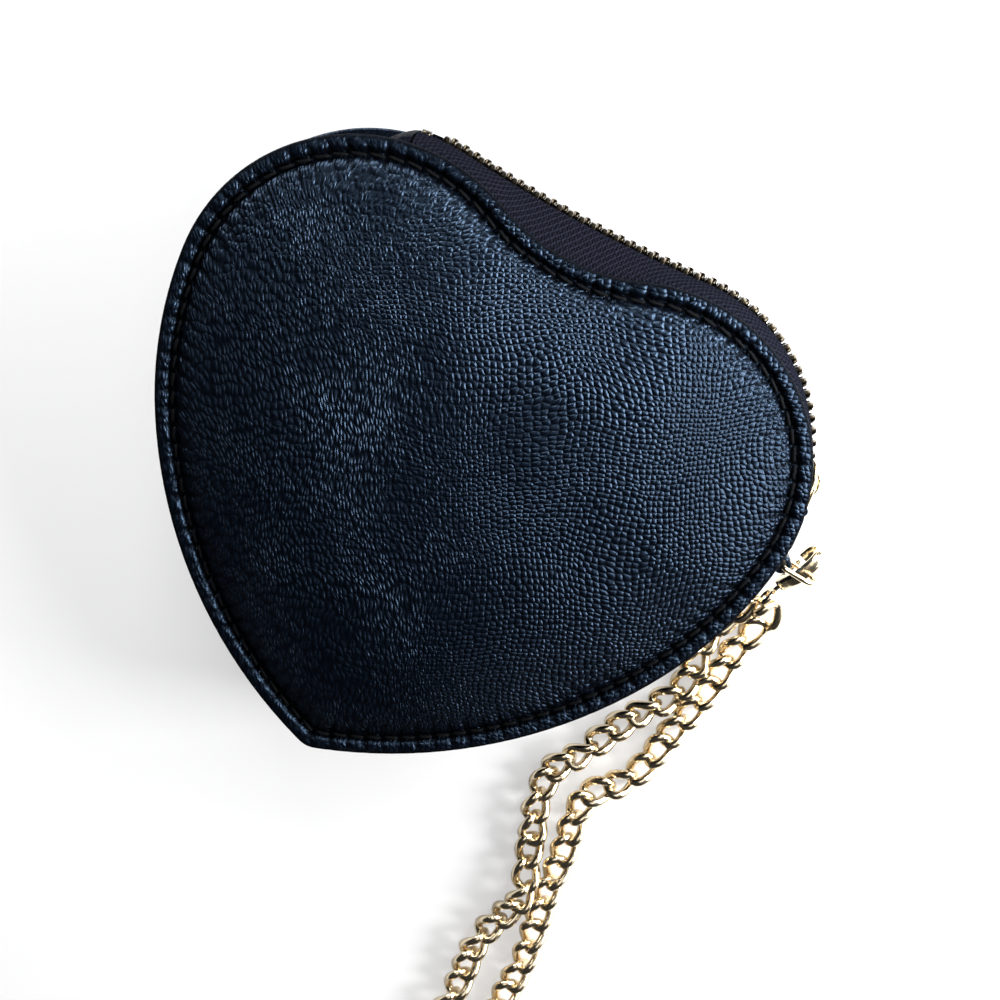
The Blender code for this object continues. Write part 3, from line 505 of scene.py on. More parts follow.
def turned(points, matrix):
    """Points in an object's own axes, put in place by a matrix."""
    matrix = np.array(matrix)
    return points @ matrix[:3, :3].T + matrix[:3, 3]


# Shader maths


class Socket:
    """A shader output that takes part in arithmetic: each operator adds its Math node."""

    def __init__(self, finish, output):
        self.finish = finish
        self.output = output

    def math(self, operation, first, second=0.0):
        """A Math node on one or two values."""
        return self.finish.add("ShaderNodeMath", {"operation": operation}, {0: first, 1: second})

    def __add__(self, other):
        return self.math("ADD", self, other)

    def __radd__(self, other):
        return self.math("ADD", other, self)

    def __sub__(self, other):
        return self.math("SUBTRACT", self, other)

    def __rsub__(self, other):
        return self.math("SUBTRACT", other, self)

    def __mul__(self, other):
        return self.math("MULTIPLY", self, other)

    def __rmul__(self, other):
        return self.math("MULTIPLY", other, self)

    def wave(self):
        """The sine of the value."""
        return self.math("SINE", self)


class Finish:
    """A procedural material: a Principled shader and the nodes that feed it."""

    def __init__(self, name, **constants):
        self.material = bpy.data.materials.new(name)
        self.material.use_nodes = True
        self.tree = self.material.node_tree
        self.shader = self.tree.nodes["Principled BSDF"]
        for key, value in constants.items():
            self.shader.inputs[key.replace("_", " ")].default_value = value

    def add(self, kind, settings=None, inputs=None, output=0):
        """Adds a node with its settings and the values or links of its sockets."""
        node = self.tree.nodes.new(kind)
        for key, value in (settings or {}).items():
            setattr(node, key, value)
        for key, value in (inputs or {}).items():
            if isinstance(value, Socket):
                self.tree.links.new(value.output, node.inputs[key])
            else:
                node.inputs[key].default_value = value
        return Socket(self, node.outputs[output])

    def feed(self, name, value):
        """Links a value to one of the Principled shader's sockets."""
        self.tree.links.new(value.output, self.shader.inputs[name])

    def mix(self, share, low, high):
        """A colour between two, by a share."""
        return self.add(
            "ShaderNodeMix", {"data_type": "RGBA"},
            {0: share, 6: as_colour(low), 7: as_colour(high)}, output=2)

    def spread(self, value, low, high, to_low=0.0, to_high=1.0, steps="SMOOTHSTEP"):
        """A value mapped from one span to another."""
        return self.add(
            "ShaderNodeMapRange", {"interpolation_type": steps},
            {0: value, 1: low, 2: high, 3: to_low, 4: to_high})

    def noise(self, where, size, detail=2.0, output=0):
        """Noise with features of a size in metres."""
        return self.add(
            "ShaderNodeTexNoise", None,
            {"Vector": where, "Scale": 1 / size, "Detail": detail}, output=output)

    def part(self, vector, index):
        """One coordinate of a vector."""
        return self.add("ShaderNodeSeparateXYZ", None, {0: vector}, output=index)

    def shift(self, where, noise, reach):
        """Coordinates moved by a colour noise, by up to half of reach either way."""
        offset = self.add(
            "ShaderNodeVectorMath", {"operation": "SUBTRACT"}, {0: noise, 1: (0.5, 0.5, 0.5)})
        return self.add(
            "ShaderNodeVectorMath", {"operation": "MULTIPLY_ADD"},
            {0: offset, 1: (reach, reach, 0.0), 2: where})

    def domes(self, where, size, randomness, wall, flat):
        """Cells of a size along x and y: a dome, and a flat top with a wall down to the creases."""
        x, y = size
        cells = self.add(
            "ShaderNodeMapping", None, {"Vector": where, "Scale": (1 / x, 1 / y, 1 / x)})
        inputs = {"Vector": cells, "Scale": 1.0, "Randomness": randomness}
        edge, centre = (
            self.add("ShaderNodeTexVoronoi", {"feature": way, "voronoi_dimensions": "2D"}, inputs)
            for way in ("DISTANCE_TO_EDGE", "F1"))
        dome = self.spread(centre, 0.0, 0.72, 1.0, 0.0)
        return flat * self.spread(edge, 0.0, wall) + (1 - flat) * dome

    def attribute(self, name):
        """A value stored for each point of a piece."""
        return self.add("ShaderNodeAttribute", {"attribute_name": name}, output=2)

    def bump(self, height, distance):
        """A small relief of a height in metres."""
        self.feed("Normal", self.add(
            "ShaderNodeBump", None, {"Height": height, "Distance": distance}))

    def blend(self, share, other):
        """Mixes another shader in by a share, and gives the material."""
        own = Socket(self, self.shader.outputs[0])
        both = self.add("ShaderNodeMixShader", None, {0: share, 1: own, 2: other})
        self.tree.links.new(both.output, self.tree.nodes["Material Output"].inputs["Surface"])
        return self.material


def as_colour(value):
    """A colour with its alpha, or a socket as it is."""
    return value if isinstance(value, Socket) else (*value, 1.0)


def colours():
    """The colours that a user can change."""
    return bpy.context.scene.pouch_colours


# Grain: the sizes of its cells and creases, and how deep the creases and the whole grain are
CELL_SIZE = (1.12 * MM, 1.0 * MM)
CREASE_SIZE = (0.74 * MM, 1.7 * MM)
CREASE_DEPTH = 0.82
GRAIN_DEPTH = 0.26 * MM
GRAIN_BLEND = 26 * MM


def leather_finish(name, coordinate="Object", gloss=0.34, rough=0.36):
    """Pressed cross-grain leather: rounded cells in rows on one side, longer creases on the other.

    Both patterns are domes about the points of a Voronoi pattern, on coordinates bent by noise, and
    a slow change from side to side blends them. The creases take a darker colour than the cell
    tops, which is painted shade. The seam attribute darkens the colour and fades the shine by a mix
    with a
    dull black: on the cut edge this is edge paint, and in the stitched groove and at the stitch
    holes it is painted shade.
    """
    look = colours()
    f = Finish(name, Roughness=0.4, Specular_IOR_Level=gloss, Specular_Tint=(*look.sheen, 1.0))
    where = f.add("ShaderNodeTexCoord", output=coordinate)
    upright = f.add(
        "ShaderNodeMapping", None, {"Vector": where, "Rotation": (0, 0, -GRAIN_TURN)})
    fine = f.noise(upright, 3.2 * MM, 1.0, output=1)
    bent = f.shift(upright, f.noise(upright, 30 * MM, 1.0, output=1), 12 * MM)
    cells = f.domes(f.shift(bent, fine, 0.7 * MM), CELL_SIZE, 0.5, 0.3, 0.35)
    creases = f.domes(f.shift(bent, fine, 1.3 * MM), CREASE_SIZE, 0.85, 0.3, 0.2)
    side = f.part(upright, 0) + 60 * MM * (f.noise(upright, 22 * MM, 1.0) - 0.5)
    share = f.spread(side, -GRAIN_BLEND, GRAIN_BLEND)
    height = CREASE_DEPTH * creases + share * (cells - CREASE_DEPTH * creases)
    seam = f.attribute("seam")
    # Painted shade: the colour darkens in the creases, and by the seam attribute in the groove and
    # at the stitch holes; on the cut edge the seam attribute is edge paint.
    f.feed("Base Color", f.mix(height * (1 - 0.8 * seam), look.leather, look.leather_high))
    worn = f.noise(where, 9 * MM, 2.0)
    f.feed("Roughness", rough + 0.06 * height + 0.12 * (worn - 0.5))
    pores = f.noise(where, 0.22 * MM, 2.0)
    f.bump((height + 0.12 * pores) * (1 - 0.3 * f.attribute("rim")), GRAIN_DEPTH)
    # The dull black is painted shade in the groove and at the stitch holes, and edge paint on the
    # cut edge.
    dull = f.add("ShaderNodeBsdfPrincipled", None, {
        "Base Color": as_colour(look.leather), "Roughness": 0.9, "Specular IOR Level": 0.03})
    return f.blend(0.92 * seam, dull)


def gold_finish(name, share, rough):
    """Polished metal with a slow cloud in its colour and roughness."""
    f = Finish(name, Metallic=1.0)
    where = f.add("ShaderNodeTexCoord", output="Object")
    cloud = f.noise(where, 3 * MM, 3.0)
    low, high = ([c * share * part for c in colours().gold] for part in (0.86, 1.0))
    f.feed("Base Color", f.mix(cloud, low, high))
    f.feed("Roughness", rough + 0.14 * cloud)
    f.bump(f.noise(where, 1.2 * MM, 1.0), 0.02 * MM)
    return f.material


def thread_finish(name):
    """Dull thread with a fine uneven surface."""
    f = Finish(
        name, Roughness=0.8, Specular_IOR_Level=0.08, Base_Color=as_colour(colours().thread))
    where = f.add("ShaderNodeTexCoord", output="Object")
    f.bump(f.noise(where, 0.2 * MM, 2.0), 0.05 * MM)
    return f.material


def woven_finish(name, colour, pitch, depth, coordinate="UV"):
    """Twill: warp and weft threads as products of two sine waves, with a slanting wave added."""
    f = Finish(name, Roughness=0.9, Specular_IOR_Level=0.0)
    where = f.add("ShaderNodeTexCoord", output=coordinate)
    weft, warp = f.part(where, 0), f.part(where, 1)
    turn = 2 * math.pi / pitch
    rib = (warp * turn).wave()
    slant = ((weft + warp) * (turn / 2)).wave()
    height = rib * (weft * turn + rib * 0.8).wave() + 0.5 * slant
    height = f.spread(height, -1.2, 1.2, steps="LINEAR")
    fuzz = f.noise(where, 0.5 * MM, 3.0)
    level = f.spread(height + fuzz, 0.6, 1.5)
    # Thread tops are lighter and the gaps between threads darker, which is painted shade between
    # the threads; the fuzz adds a random tone.
    f.feed("Base Color", f.mix(level, [c * 0.45 for c in colour], [c * 2.4 for c in colour]))
    f.feed("Roughness", 0.85 - 0.25 * level)
    f.bump(height + 0.5 * fuzz, depth)
    return f.material


def board_finish(name):
    """Felted board: a dark grey cloud."""
    f = Finish(name, Roughness=0.9)
    cloud = f.noise(f.add("ShaderNodeTexCoord", output="Object"), 1.5 * MM, 4.0)
    f.feed("Base Color", f.mix(cloud, (0.030, 0.031, 0.035), (0.055, 0.056, 0.060)))
    f.bump(cloud, 0.15 * MM)
    return f.material


def finish(name):
    """The named finish, made when first asked for."""
    if name in bpy.data.materials:
        return bpy.data.materials[name]
    look = colours()
    maker, *settings = {
        "front_grain": (leather_finish,),
        "plain_grain": (leather_finish,),
        "gusset_grain": (leather_finish, "UV", 0.03, 0.66),
        "polished_metal": (gold_finish, 1.0, 0.13),
        "dark_metal": (gold_finish, 0.045, 0.14),
        "thread": (thread_finish,),
        "zip_weave": (woven_finish, look.tape, 0.7 * MM, 0.08 * MM),
        "lining_weave": (woven_finish, look.lining, 0.5 * MM, 0.05 * MM, "Object"),
        "felted_board": (board_finish,),
    }[name]
    return maker(name, *settings)


def repaint(slot, surface):
    """Gives CAD nodes of a slot that stay visible a procedural finish."""
    for entry in frame["record"]["subparts"]:
        if entry["material_slot"] == slot:
            node = frame["nodes"][entry["node"]]
            for holder in node.material_slots:
                holder.material = surface


# Leather and seams

# Rows of the front's rolled rim, steps along the two edges, and how far a stitch hole draws in
RIM_ROWS = 14
FRONT_STEP = 0.34 * MM
BACK_STEP = 0.8 * MM
PINCH_REACH = 0.58 * MM


def seam(inset):
    """The outline moved in by inset: its points, outward directions and lengths along it."""
    point, out = rim_spots(np.linspace(0, 2 * SECTIONS, OUTLINE_SAMPLES)[:-1])
    line = point - inset * out
    return line, out, distances(np.concatenate([line, line[:1]]))


def seam_stitches():
    """Number of stitches in the groove, and its length."""
    shape = bpy.context.scene.pouch_shape
    length = seam(shape.groove)[2][-1]
    return round(length / shape.stitch_pitch), length


def stitch_places(z):
    """Places and frames (along, out, up) of evenly spaced stitches in the groove."""
    line, out, length = seam(bpy.context.scene.pouch_shape.groove)
    count, whole = seam_stitches()
    at = (np.arange(count) + 0.5) * whole / count
    closed = [np.append(column, column[0]) for column in (*line.T, *out.T)]
    x, y, ox, oy = [np.interp(at, length, column) for column in closed]
    out = unit(np.stack([ox, oy, 0 * ox], axis=-1))
    up = np.broadcast_to((0.0, 0.0, 1.0), out.shape)
    return np.stack([x, y, 0 * x + z], axis=-1), np.stack([np.cross(up, out), out, up], axis=1)


def stitches(name, z, side, body):
    """Threads: each a short tube that arches as 1 - x^4 from hole to hole, slightly slanted."""
    shape = bpy.context.scene.pouch_shape
    x = np.linspace(-1, 1, 11)
    line = np.stack([
        x * 0.43 * shape.stitch_pitch, x * 0.16 * MM, side * 0.45 * MM * (1 - x**4)], axis=-1)
    thick = shape.thread / 2 * np.sqrt(np.clip(1.02 - x**6, 0.05, 1))
    made = copies(name, tube_grid(line, thick, 8), *stitch_places(z), finish("thread"))
    return place(made, body, "crosshatch_leather")


def front_rings():
    """Rings of the padded front from its underside over the rim and groove to the crown.

    Height is a profile of the inset from the edge, then RIM_TOP + crown * (1 - share^4). The seam
    draws the leather in by a bell curve about each stitch hole, which fades away from the seam.
    """
    shape = bpy.context.scene.pouch_shape
    u = even_u(rim_spots, 0, 2 * SECTIONS, FRONT_STEP)[:-1]
    point, out = rim_spots(u)
    count, whole = seam_stitches()
    seam_u = np.linspace(0, 2 * SECTIONS, OUTLINE_SAMPLES)
    phase = np.interp(u, seam_u, seam(shape.groove)[2]) / whole * count
    away = (phase - np.round(phase)) * whole / count
    uneven = 1 + 0.25 * np.sin(phase * 2.39) + 0.2 * np.sin(phase * 0.77 + 1)
    pinch = np.exp(-((away / PINCH_REACH) ** 2)) * uneven
    dip = shape.groove_depth / MM
    low = (RIM_Z - RIM_TOP) / MM
    profile = (
        (5.2, low + 0.1, 0), (3.0, low, 0), (0.35, low, 0), (0.12, low + 0.06, 0),
        (0.0, low + 0.25, 0), (-0.06, low + 0.6, 0.1), (0.0, -0.40, 0.1), (0.12, -0.22, 0.15),
        (0.38, -0.08, 0.2), (0.75, 0.0, 0.3), (1.2, 0.09, 0.5), (1.6, 0.13, 0.75),
        (1.95, 0.11, 0.9), (2.2, -0.05, 1.0), (2.4, -0.35, 1.0), (2.6, -0.75, 1.0),
        (2.85, -dip * 0.95, 1.0), (3.2, -dip, 1.0), (3.6, -dip, 1.0), (3.85, -dip * 0.85, 1.0),
        (4.1, -0.5, 1.0), (4.4, -0.16, 0.95),
    )
    rings, groove_shade_and_edge_paint = [], []
    for inset, z, weight in profile:
        height = RIM_TOP + z * MM - shape.pucker * weight * pinch
        rings.append(lifted(point - inset * MM * out, height))
        # Seam values: edge paint on the cut edge, and painted shade in the groove and at the stitch
        # holes.
        groove = np.exp(-(((inset - 3.1) / (0.75 + 0.85 * pinch)) ** 4))
        groove_shade_and_edge_paint.append(groove * (0.6 + 0.4 * pinch) + (inset < 0.5))
    for share in np.concatenate([np.linspace(0.985, 0.86, 12), np.linspace(0.84, 0.06, 28)]):
        fade = np.exp(-(1 - share) * 26)
        # Painted shade in the dents beside the stitch holes.
        groove_shade_and_edge_paint.append(0.9 * fade * pinch * (share > 0.95))
        swell = 0.14 * MM * math.exp(-(((share - 0.93) / 0.05) ** 2))
        height = RIM_TOP + shape.crown * (1 - share**4) + swell
        height = height - shape.pucker * 0.8 * fade * pinch
        rings.append(lifted((point - PANEL_INSET * out) * share, height))
    return np.array(rings), np.array(groove_shade_and_edge_paint)


def mark(piece, name, values):
    """Stores a value for each of the first points of a piece, and 0 for the rest."""
    layer = piece.data.attributes.new(name, "FLOAT", "POINT")
    full = np.zeros(len(piece.data.vertices), dtype=np.float32)
    full[: values.size] = values.ravel()
    layer.data.foreach_set("value", full)


class POUCH_OT_chain(bpy.types.Operator):
    """Curb chain: twisted oval links along the route, both ends at the swivel eye"""
    bl_idname = "pouch.chain"
    bl_label = "Wrist chain"

    def execute(self, context):
        sizes = context.scene.pouch_hardware
        route = chain_route()
        length = distances(route)
        count = round(length[-1] / sizes.link_pitch)
        at = (np.arange(count) + 0.5) * length[-1] / count
        half = sizes.link_pitch / 2
        behind, middle, ahead = (
            np.stack([np.interp(s, length, c) for c in route.T], axis=-1)
            for s in (at - half, at, at + half))
        along = unit(ahead - behind)
        side = unit(np.cross(np.broadcast_to((0.0, 0.0, 1.0), along.shape), along))
        up = np.cross(along, side)
        roll = LINK_LEAN + LINK_SWAY * np.sin(1.9 * np.arange(count))[:, None]
        frames = np.stack([along, np.cos(roll) * side + np.sin(roll) * up,
                           np.cos(roll) * up - np.sin(roll) * side], axis=1)
        grid = link_grid(sizes)
        faces = grid_faces(*grid.shape[:2], wrap_rows=True, wrap_columns=True)
        points, faces = strew(grid.reshape(-1, 3), faces, middle, frames)
        points = points.reshape(count, -1, 3)
        points[..., 2] += np.maximum(-points[..., 2].min(axis=1), 0)[:, None]
        piece = make("chain_links", points, faces.tolist(), finish("polished_metal"))
        place(piece, "back_half", "pale_gold", "wrist_chain")
        return {"FINISHED"}


def link_grid(sizes):
    """A twisted oval: (A cos t, B sin t, C sin 2t), swept by the wire's circle."""
    t = np.linspace(0, 2 * math.pi, 28, endpoint=False)
    reach = (sizes.link_length - sizes.link_wire) / 2
    width = (sizes.link_width - sizes.link_wire) / 2
    twist = 0.72 * sizes.link_wire
    line = np.stack([reach * np.cos(t), width * np.sin(t), twist * np.sin(2 * t)], axis=-1)
    return tube_grid(line, sizes.link_wire / 2, 12, closed=True, flat=0.95)[:-1]


def chain_route():
    """A smooth line through the route's points (Catmull-Rom), every half millimetre or so."""
    first, last = np.array(CHAIN_ENDS) * MM
    points = np.array([first, *((*p, CHAIN_REST_Z)[:3] for p in CHAIN_POINTS), last])
    ends = np.concatenate([
        [2 * points[0] - points[1]], points, [2 * points[-1] - points[-2]]])
    a, b, c, d = (ends[k : len(ends) - 3 + k, None] for k in range(4))
    t = np.linspace(0, 1, 12, endpoint=False)[None, :, None]
    curve = (2 * b + (c - a) * t + (2 * a - 5 * b + 4 * c - d) * t**2
             + (3 * b - a - 3 * c + d) * t**3)
    return np.concatenate([(curve / 2).reshape(-1, 3), points[-1:]])


class POUCH_OT_front(bpy.types.Operator):
    """Padded front leather with its rolled rim, puckered seam and stitches"""
    bl_idname = "pouch.front"
    bl_label = "Front leather"

    def execute(self, context):
        shape = context.scene.pouch_shape
        rings, groove_shade_and_edge_paint = front_rings()
        piece = shell(
            "front_leather", rings, (0, 0, RIM_Z + 0.1 * MM), (0, 0, RIM_TOP + shape.crown),
            finish("front_grain"))
        # The seam attribute holds edge paint on the cut edge and painted shade in the groove and at
        # the stitch holes.
        mark(piece, "seam", np.clip(groove_shade_and_edge_paint, 0, 1))
        rows = np.arange(len(rings))[:, None] + 0 * groove_shade_and_edge_paint
        mark(piece, "rim", (rows < RIM_ROWS).astype(float))
        place(piece, "front_half", "crosshatch_leather", "front_panel")
        stitches("front_stitches", RIM_TOP - shape.groove_depth, 1, "front_half")
        return {"FINISHED"}


class POUCH_OT_back(bpy.types.Operator):
    """Flat back leather with the same seam on its outer face"""
    bl_idname = "pouch.back"
    bl_label = "Back leather"

    def execute(self, context):
        point, out = rim_spots(even_u(rim_spots, 0, 2 * SECTIONS, BACK_STEP)[:-1])
        top = BACK_TOP / MM
        profile = (
            (0.9, top), (0.3, top), (0.1, top - 0.12), (0.0, 0.8), (0.0, 0.45), (0.12, 0.16),
            (0.4, 0.02), (0.9, 0.0), (1.9, 0.0), (2.3, 0.12), (2.6, 0.3), (2.9, 0.34), (3.2, 0.3),
            (3.5, 0.12), (3.9, 0.0),
        )
        edge = point - 4.3 * MM * out
        rings = [lifted(edge * share, BACK_TOP) for share in (0.1, 0.6, 1)]
        rings += [lifted(point - inset * MM * out, z * MM) for inset, z in profile]
        rings += [lifted(edge * share, 0.0) for share in (1, 0.7, 0.4, 0.1)]
        piece = shell(
            "back_leather", np.array(rings), (0, 0, BACK_TOP), (0, 0, 0), finish("front_grain"))
        place(piece, "back_half", "crosshatch_leather", "back_panel")
        stitches("back_stitches", 0.75 * MM, -1, "back_half")
        return {"FINISHED"}


class POUCH_OT_gusset(bpy.types.Operator):
    """Leather side wall that joins the front and back where there is no zip"""
    bl_idname = "pouch.gusset"
    bl_label = "Gusset"

    def execute(self, context):
        height = np.concatenate([
            np.linspace(-1, -0.8, 5), np.linspace(-0.72, 0.72, 15), np.linspace(0.8, 1, 5)])
        tuck = 1 - np.abs(height) ** 6
        weight = smooth(1.35 * tuck)
        offset = (-0.3 - 0.5 * np.sin(math.pi * np.clip(tuck, 0, 1)) + 0.3 * weight) * MM
        z = MIDDLE_Z + height * (GUSSET_HIGH - GUSSET_LOW) / 2
        wall = 1.2 * MM + 1.9 * MM * (1 - weight)
        outer = np.stack([weight, offset, z], axis=-1)
        inner = np.stack([weight, offset - wall, z], axis=-1)[::-1]
        grid = gusset_grid(wall_u(END_GAP, 1.0 * MM), np.concatenate([outer, inner]))
        piece = band("gusset_leather", grid, finish("gusset_grain"))
        place_between(piece, "gusset_band")
        profile = np.array((
            (0, -3.6, 3.0), (1, -1.5, 11.0), (0, -3.6, 19.3), (0, -4.1, 19.3), (1, -2.0, 11.0),
            (0, -4.1, 3.0),
        )) * (1, MM, MM)
        grid = gusset_grid(wall_u(END_GAP + BULGE_RUN, 1.5 * MM), profile)
        piece = band("side_lining", grid, finish("lining_weave"))
        place_between(piece, "gusset_lining")
        return {"FINISHED"}


def wall_u(gap, step):
    """Values of u round the side wall, which stops at a distance from the zip's ends."""
    return even_u(
        rim_spots, ZIP_END + gap / LOBE_LENGTH,
        2 * SECTIONS + ZIP_START - gap / HIP_LENGTH, step)


def place_between(piece, node):
    """For leather and cloth that join the two halves: the piece keeps its place in its points,
    rides on no body and hides its CAD node.
    """
    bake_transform(piece)
    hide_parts(node)


class POUCH_OT_zip(bpy.types.Operator):
    """Woven tapes, rows of teeth and stops along the zip's line"""
    bl_idname = "pouch.zip"
    bl_label = "Zip"

    def execute(self, context):
        u = even_u(middle_spots, ZIP_START, ZIP_END, 0.8 * MM)
        line = np.array((
            (0, -3.4, 9.0), (0, -2.0, 9.02), (0, -0.9, 8.95), (0.05, -0.35, 8.7),
            (0.15, -0.05, 8.1), (0.3, 0.1, 7.1), (0.48, 0.16, 6.0), (0.68, 0.14, 5.0),
            (0.86, 0.06, 4.2), (1, 0, 3.4), (1, 0, 2.3),
        ))
        for side, body, name in ((1, "front_half", "front"), (-1, "back_half", "back")):
            face = line * (1, MM, side * MM) + (0, 0, MIDDLE_Z)
            along = np.gradient(line * (3, 1, 1), axis=0)
            normal = unit(np.stack([along[:, 2], -(along[:, 1] + along[:, 0])], axis=-1))
            shift = np.concatenate([np.zeros((len(line), 1)), normal * (1, side)], axis=1)
            shift = shift * TAPE_THICK / 2
            grid = gusset_grid(u, np.concatenate([face - shift, (face + shift)[::-1]]))
            tape = band(name + "_tape", grid, finish("zip_weave"))
            place(tape, body, "zip_tape", name + "_zip_tape")
            teeth = teeth_row(name + "_teeth", side)
            place(teeth, body, "pale_gold", name + "_zip_teeth")
            zip_stop(
                name + "_stop", body, TOP_STOP, side * 0.25 * MM, side * STOP_REACH,
                name + "_top_stop")
        end = lengths_along(middle_spots, ZIP_START, ZIP_END)[1][-1] - BOTTOM_STOP
        zip_stop("end_stop", "back_half", end, -STOP_REACH, STOP_REACH, "zip_bottom_stop")
        return {"FINISHED"}


def zip_stop(name, body, at, low, high, node):
    """A clenched stop at a distance along the zip: a rounded pad from one height to another."""
    xs = np.array((-0.9, -0.8, -0.5, 0.5, 0.8, 0.9)) * MM
    halves = abs(high - low) / 2 - np.array((0.6, 0.25, 0, 0, 0.25, 0.6)) * MM
    local = pad(xs, halves, 1.9 * MM)[..., (0, 2, 1)] + (0, 0, (low + high) / 2)
    points, _ = strew(
        local.reshape(-1, 3), np.zeros((0, 4), int), *zip_frames(np.array([at])))
    metal(name, [points.reshape(local.shape)], body, node, "dark_metal")


def tooth_grid():
    """A tooth as rounded rectangles (along, out) that widen from its head to its clamp."""
    rows = np.array((
        (0.26, 0.22, 0.45), (0.32, 0.34, 0.62), (0.45, 0.44, 0.78), (0.62, 0.52, 0.95),
        (0.80, 0.66, 1.15), (2.5, 0.66, 1.2), (2.95, 0.58, 1.1), (3.05, 0.40, 0.85),
    )) * MM
    ring = rows[:, None, 1:] * (1.0, 1.2) * section(12, 0.5).T
    height = np.broadcast_to(rows[:, None, :1], ring.shape[:2] + (1,))
    return np.concatenate([ring, height], axis=-1)


def zip_frames(at):
    """Places and frames (along, out, up) at distances along the zip's line."""
    u, length = lengths_along(middle_spots, ZIP_START, ZIP_END)
    behind, point, ahead = (
        middle_spots(np.interp(at + reach, length, u))[0] for reach in (-0.3 * MM, 0, 0.3 * MM))
    along = lifted(unit(ahead - behind), 0.0)
    up = np.broadcast_to((0.0, 0.0, 1.0), along.shape)
    return lifted(point, MIDDLE_Z), np.stack([along, np.cross(along, up), up], axis=1)


def teeth_row(name, side):
    """Teeth from the slider's upper end to the bottom stop, half a pitch on in the back row."""
    _, length = lengths_along(middle_spots, ZIP_START, ZIP_END)
    start = middle_spots(np.array([ZIP_START]))[0][0] - ZIP_CENTRE
    first = ZIP_RADIUS * (SLIDER_PARK - math.atan2(start[1], start[0])) + SLIDER_HALF + 1.3 * MM
    first += (0.5 if side < 0 else 0) * TOOTH_PITCH
    at = np.arange(first, length[-1] - 4.2 * MM, TOOTH_PITCH)
    return copies(name, tooth_grid() * (1, 1, side), *zip_frames(at), finish("dark_metal"))


# Zip slider and pull, ring and clasp


def metal(name, grids, body, node, surface="polished_metal", sharp=50):
    """A piece of gold or dark metal from closed grids, which rides on a body."""
    piece = solids(name, grids, finish(surface), sharp=sharp)
    return place(piece, body, "pale_gold", node)


def leather(name, grids, body, node):
    """A small folded piece of plain leather from closed grids, which rides on a body."""
    piece = solids(name, grids, finish("plain_grain"))
    return place(piece, body, "crosshatch_leather", node)


def slider_bend(points, out=0.0):
    """Points (along, across, outwards) bent round the zip's arc at the slider's place."""
    angle = SLIDER_PARK + points[..., 0] / ZIP_RADIUS
    radius = ZIP_RADIUS + out + points[..., 2]
    x = ZIP_CENTRE[0] + radius * np.cos(angle)
    y = ZIP_CENTRE[1] + radius * np.sin(angle)
    return np.stack([x, y, MIDDLE_Z + points[..., 1]], axis=-1)


class POUCH_OT_slider(bpy.types.Operator):
    """Zip slider with its bail, and the pull: a wire link and a leather tongue"""
    bl_idname = "pouch.slider"
    bl_label = "Slider and pull"

    def execute(self, context):
        plate = pad(
            np.array((-4.25, -4.15, -3.9, -3.2, -1.5, 1.2, 2.6, 3.6, 4.1, 4.25)) * MM,
            np.array((2.2, 2.5, 2.75, 3.0, 3.2, 3.8, 3.7, 3.2, 2.3, 1.6)) * MM, 0.6 * MM)
        arch = np.array((
            (-2.0, 0, 1.8), (-1.95, 0, 2.4), (-1.6, 0, 3.05), (-0.9, 0, 3.4), (0, 0, 3.45),
            (0.9, 0, 3.4), (1.6, 0, 3.05), (1.95, 0, 2.4), (2.0, 0, 1.8),
        )) * MM
        bail = tube_grid(arch, 0.26 * MM, 16, (0, 1, 0), flat=2.6, square=0.6)
        web = pad(
            np.array((-1.5, -1.4, 1.4, 1.5)) * MM, np.array((0.08, 0.2, 0.2, 0.08)) * MM,
            3.6 * MM)
        grids = [slider_bend(plate, out) for out in (PLATE_OUT, -PLATE_OUT)]
        grids += [slider_bend(bail), slider_bend(web)]
        metal("slider", grids, "slider", "zip_slider", sharp=40)
        self.pull()
        return {"FINISHED"}

    def pull(self):
        """The pull, drawn with x away from the bail and then turned into place."""
        out = Vector((math.cos(SLIDER_PARK), math.sin(SLIDER_PARK), 0))
        spot = Vector((*ZIP_CENTRE, MIDDLE_Z)) + LINK_RADIUS * out
        lean = SLIDER_PARK - math.pi / 2 - PULL_LEAN
        home = Matrix.Translation(spot) @ Matrix.Rotation(lean, 4, "Z")
        reach, half, corner = 5.5 * MM, 1.55 * MM, 0.7 * MM
        loop = np.concatenate([
            arc((x, y), corner, turn - 90, turn, 6)
            for x, y, turn in (
                (reach - corner, corner - half, 0), (reach - corner, half - corner, 90),
                (corner, half - corner, 180), (corner, corner - half, 270))
        ])[:, (0, 2, 1)]
        wire = tube_grid(loop, 0.35 * MM, 14, (0, 1, 0), closed=True)
        metal("pull_wire", [turned(wire, home)], "pull", "pull_link")
        tongue = pad(
            np.array((6.3, 6.4, 6.7, 7.2, 8.0, 11.0, 12.2, 12.8, 13.1, 13.25)) * MM,
            np.array((1.3, 1.7, 2.2, 2.5, 2.6, 2.6, 2.35, 1.8, 1.2, 0.5)) * MM,
            1.3 * MM)[..., (0, 2, 1)]
        fold = tube_grid(
            arc((reach, 0), 0.78 * MM, 0, 360, 25)[:-1], 0.22 * MM, 16, closed=True,
            flat=4.4, square=0.5)
        leather("pull_tongue", [turned(g, home) for g in (tongue, fold)], "pull", "zip_pull")


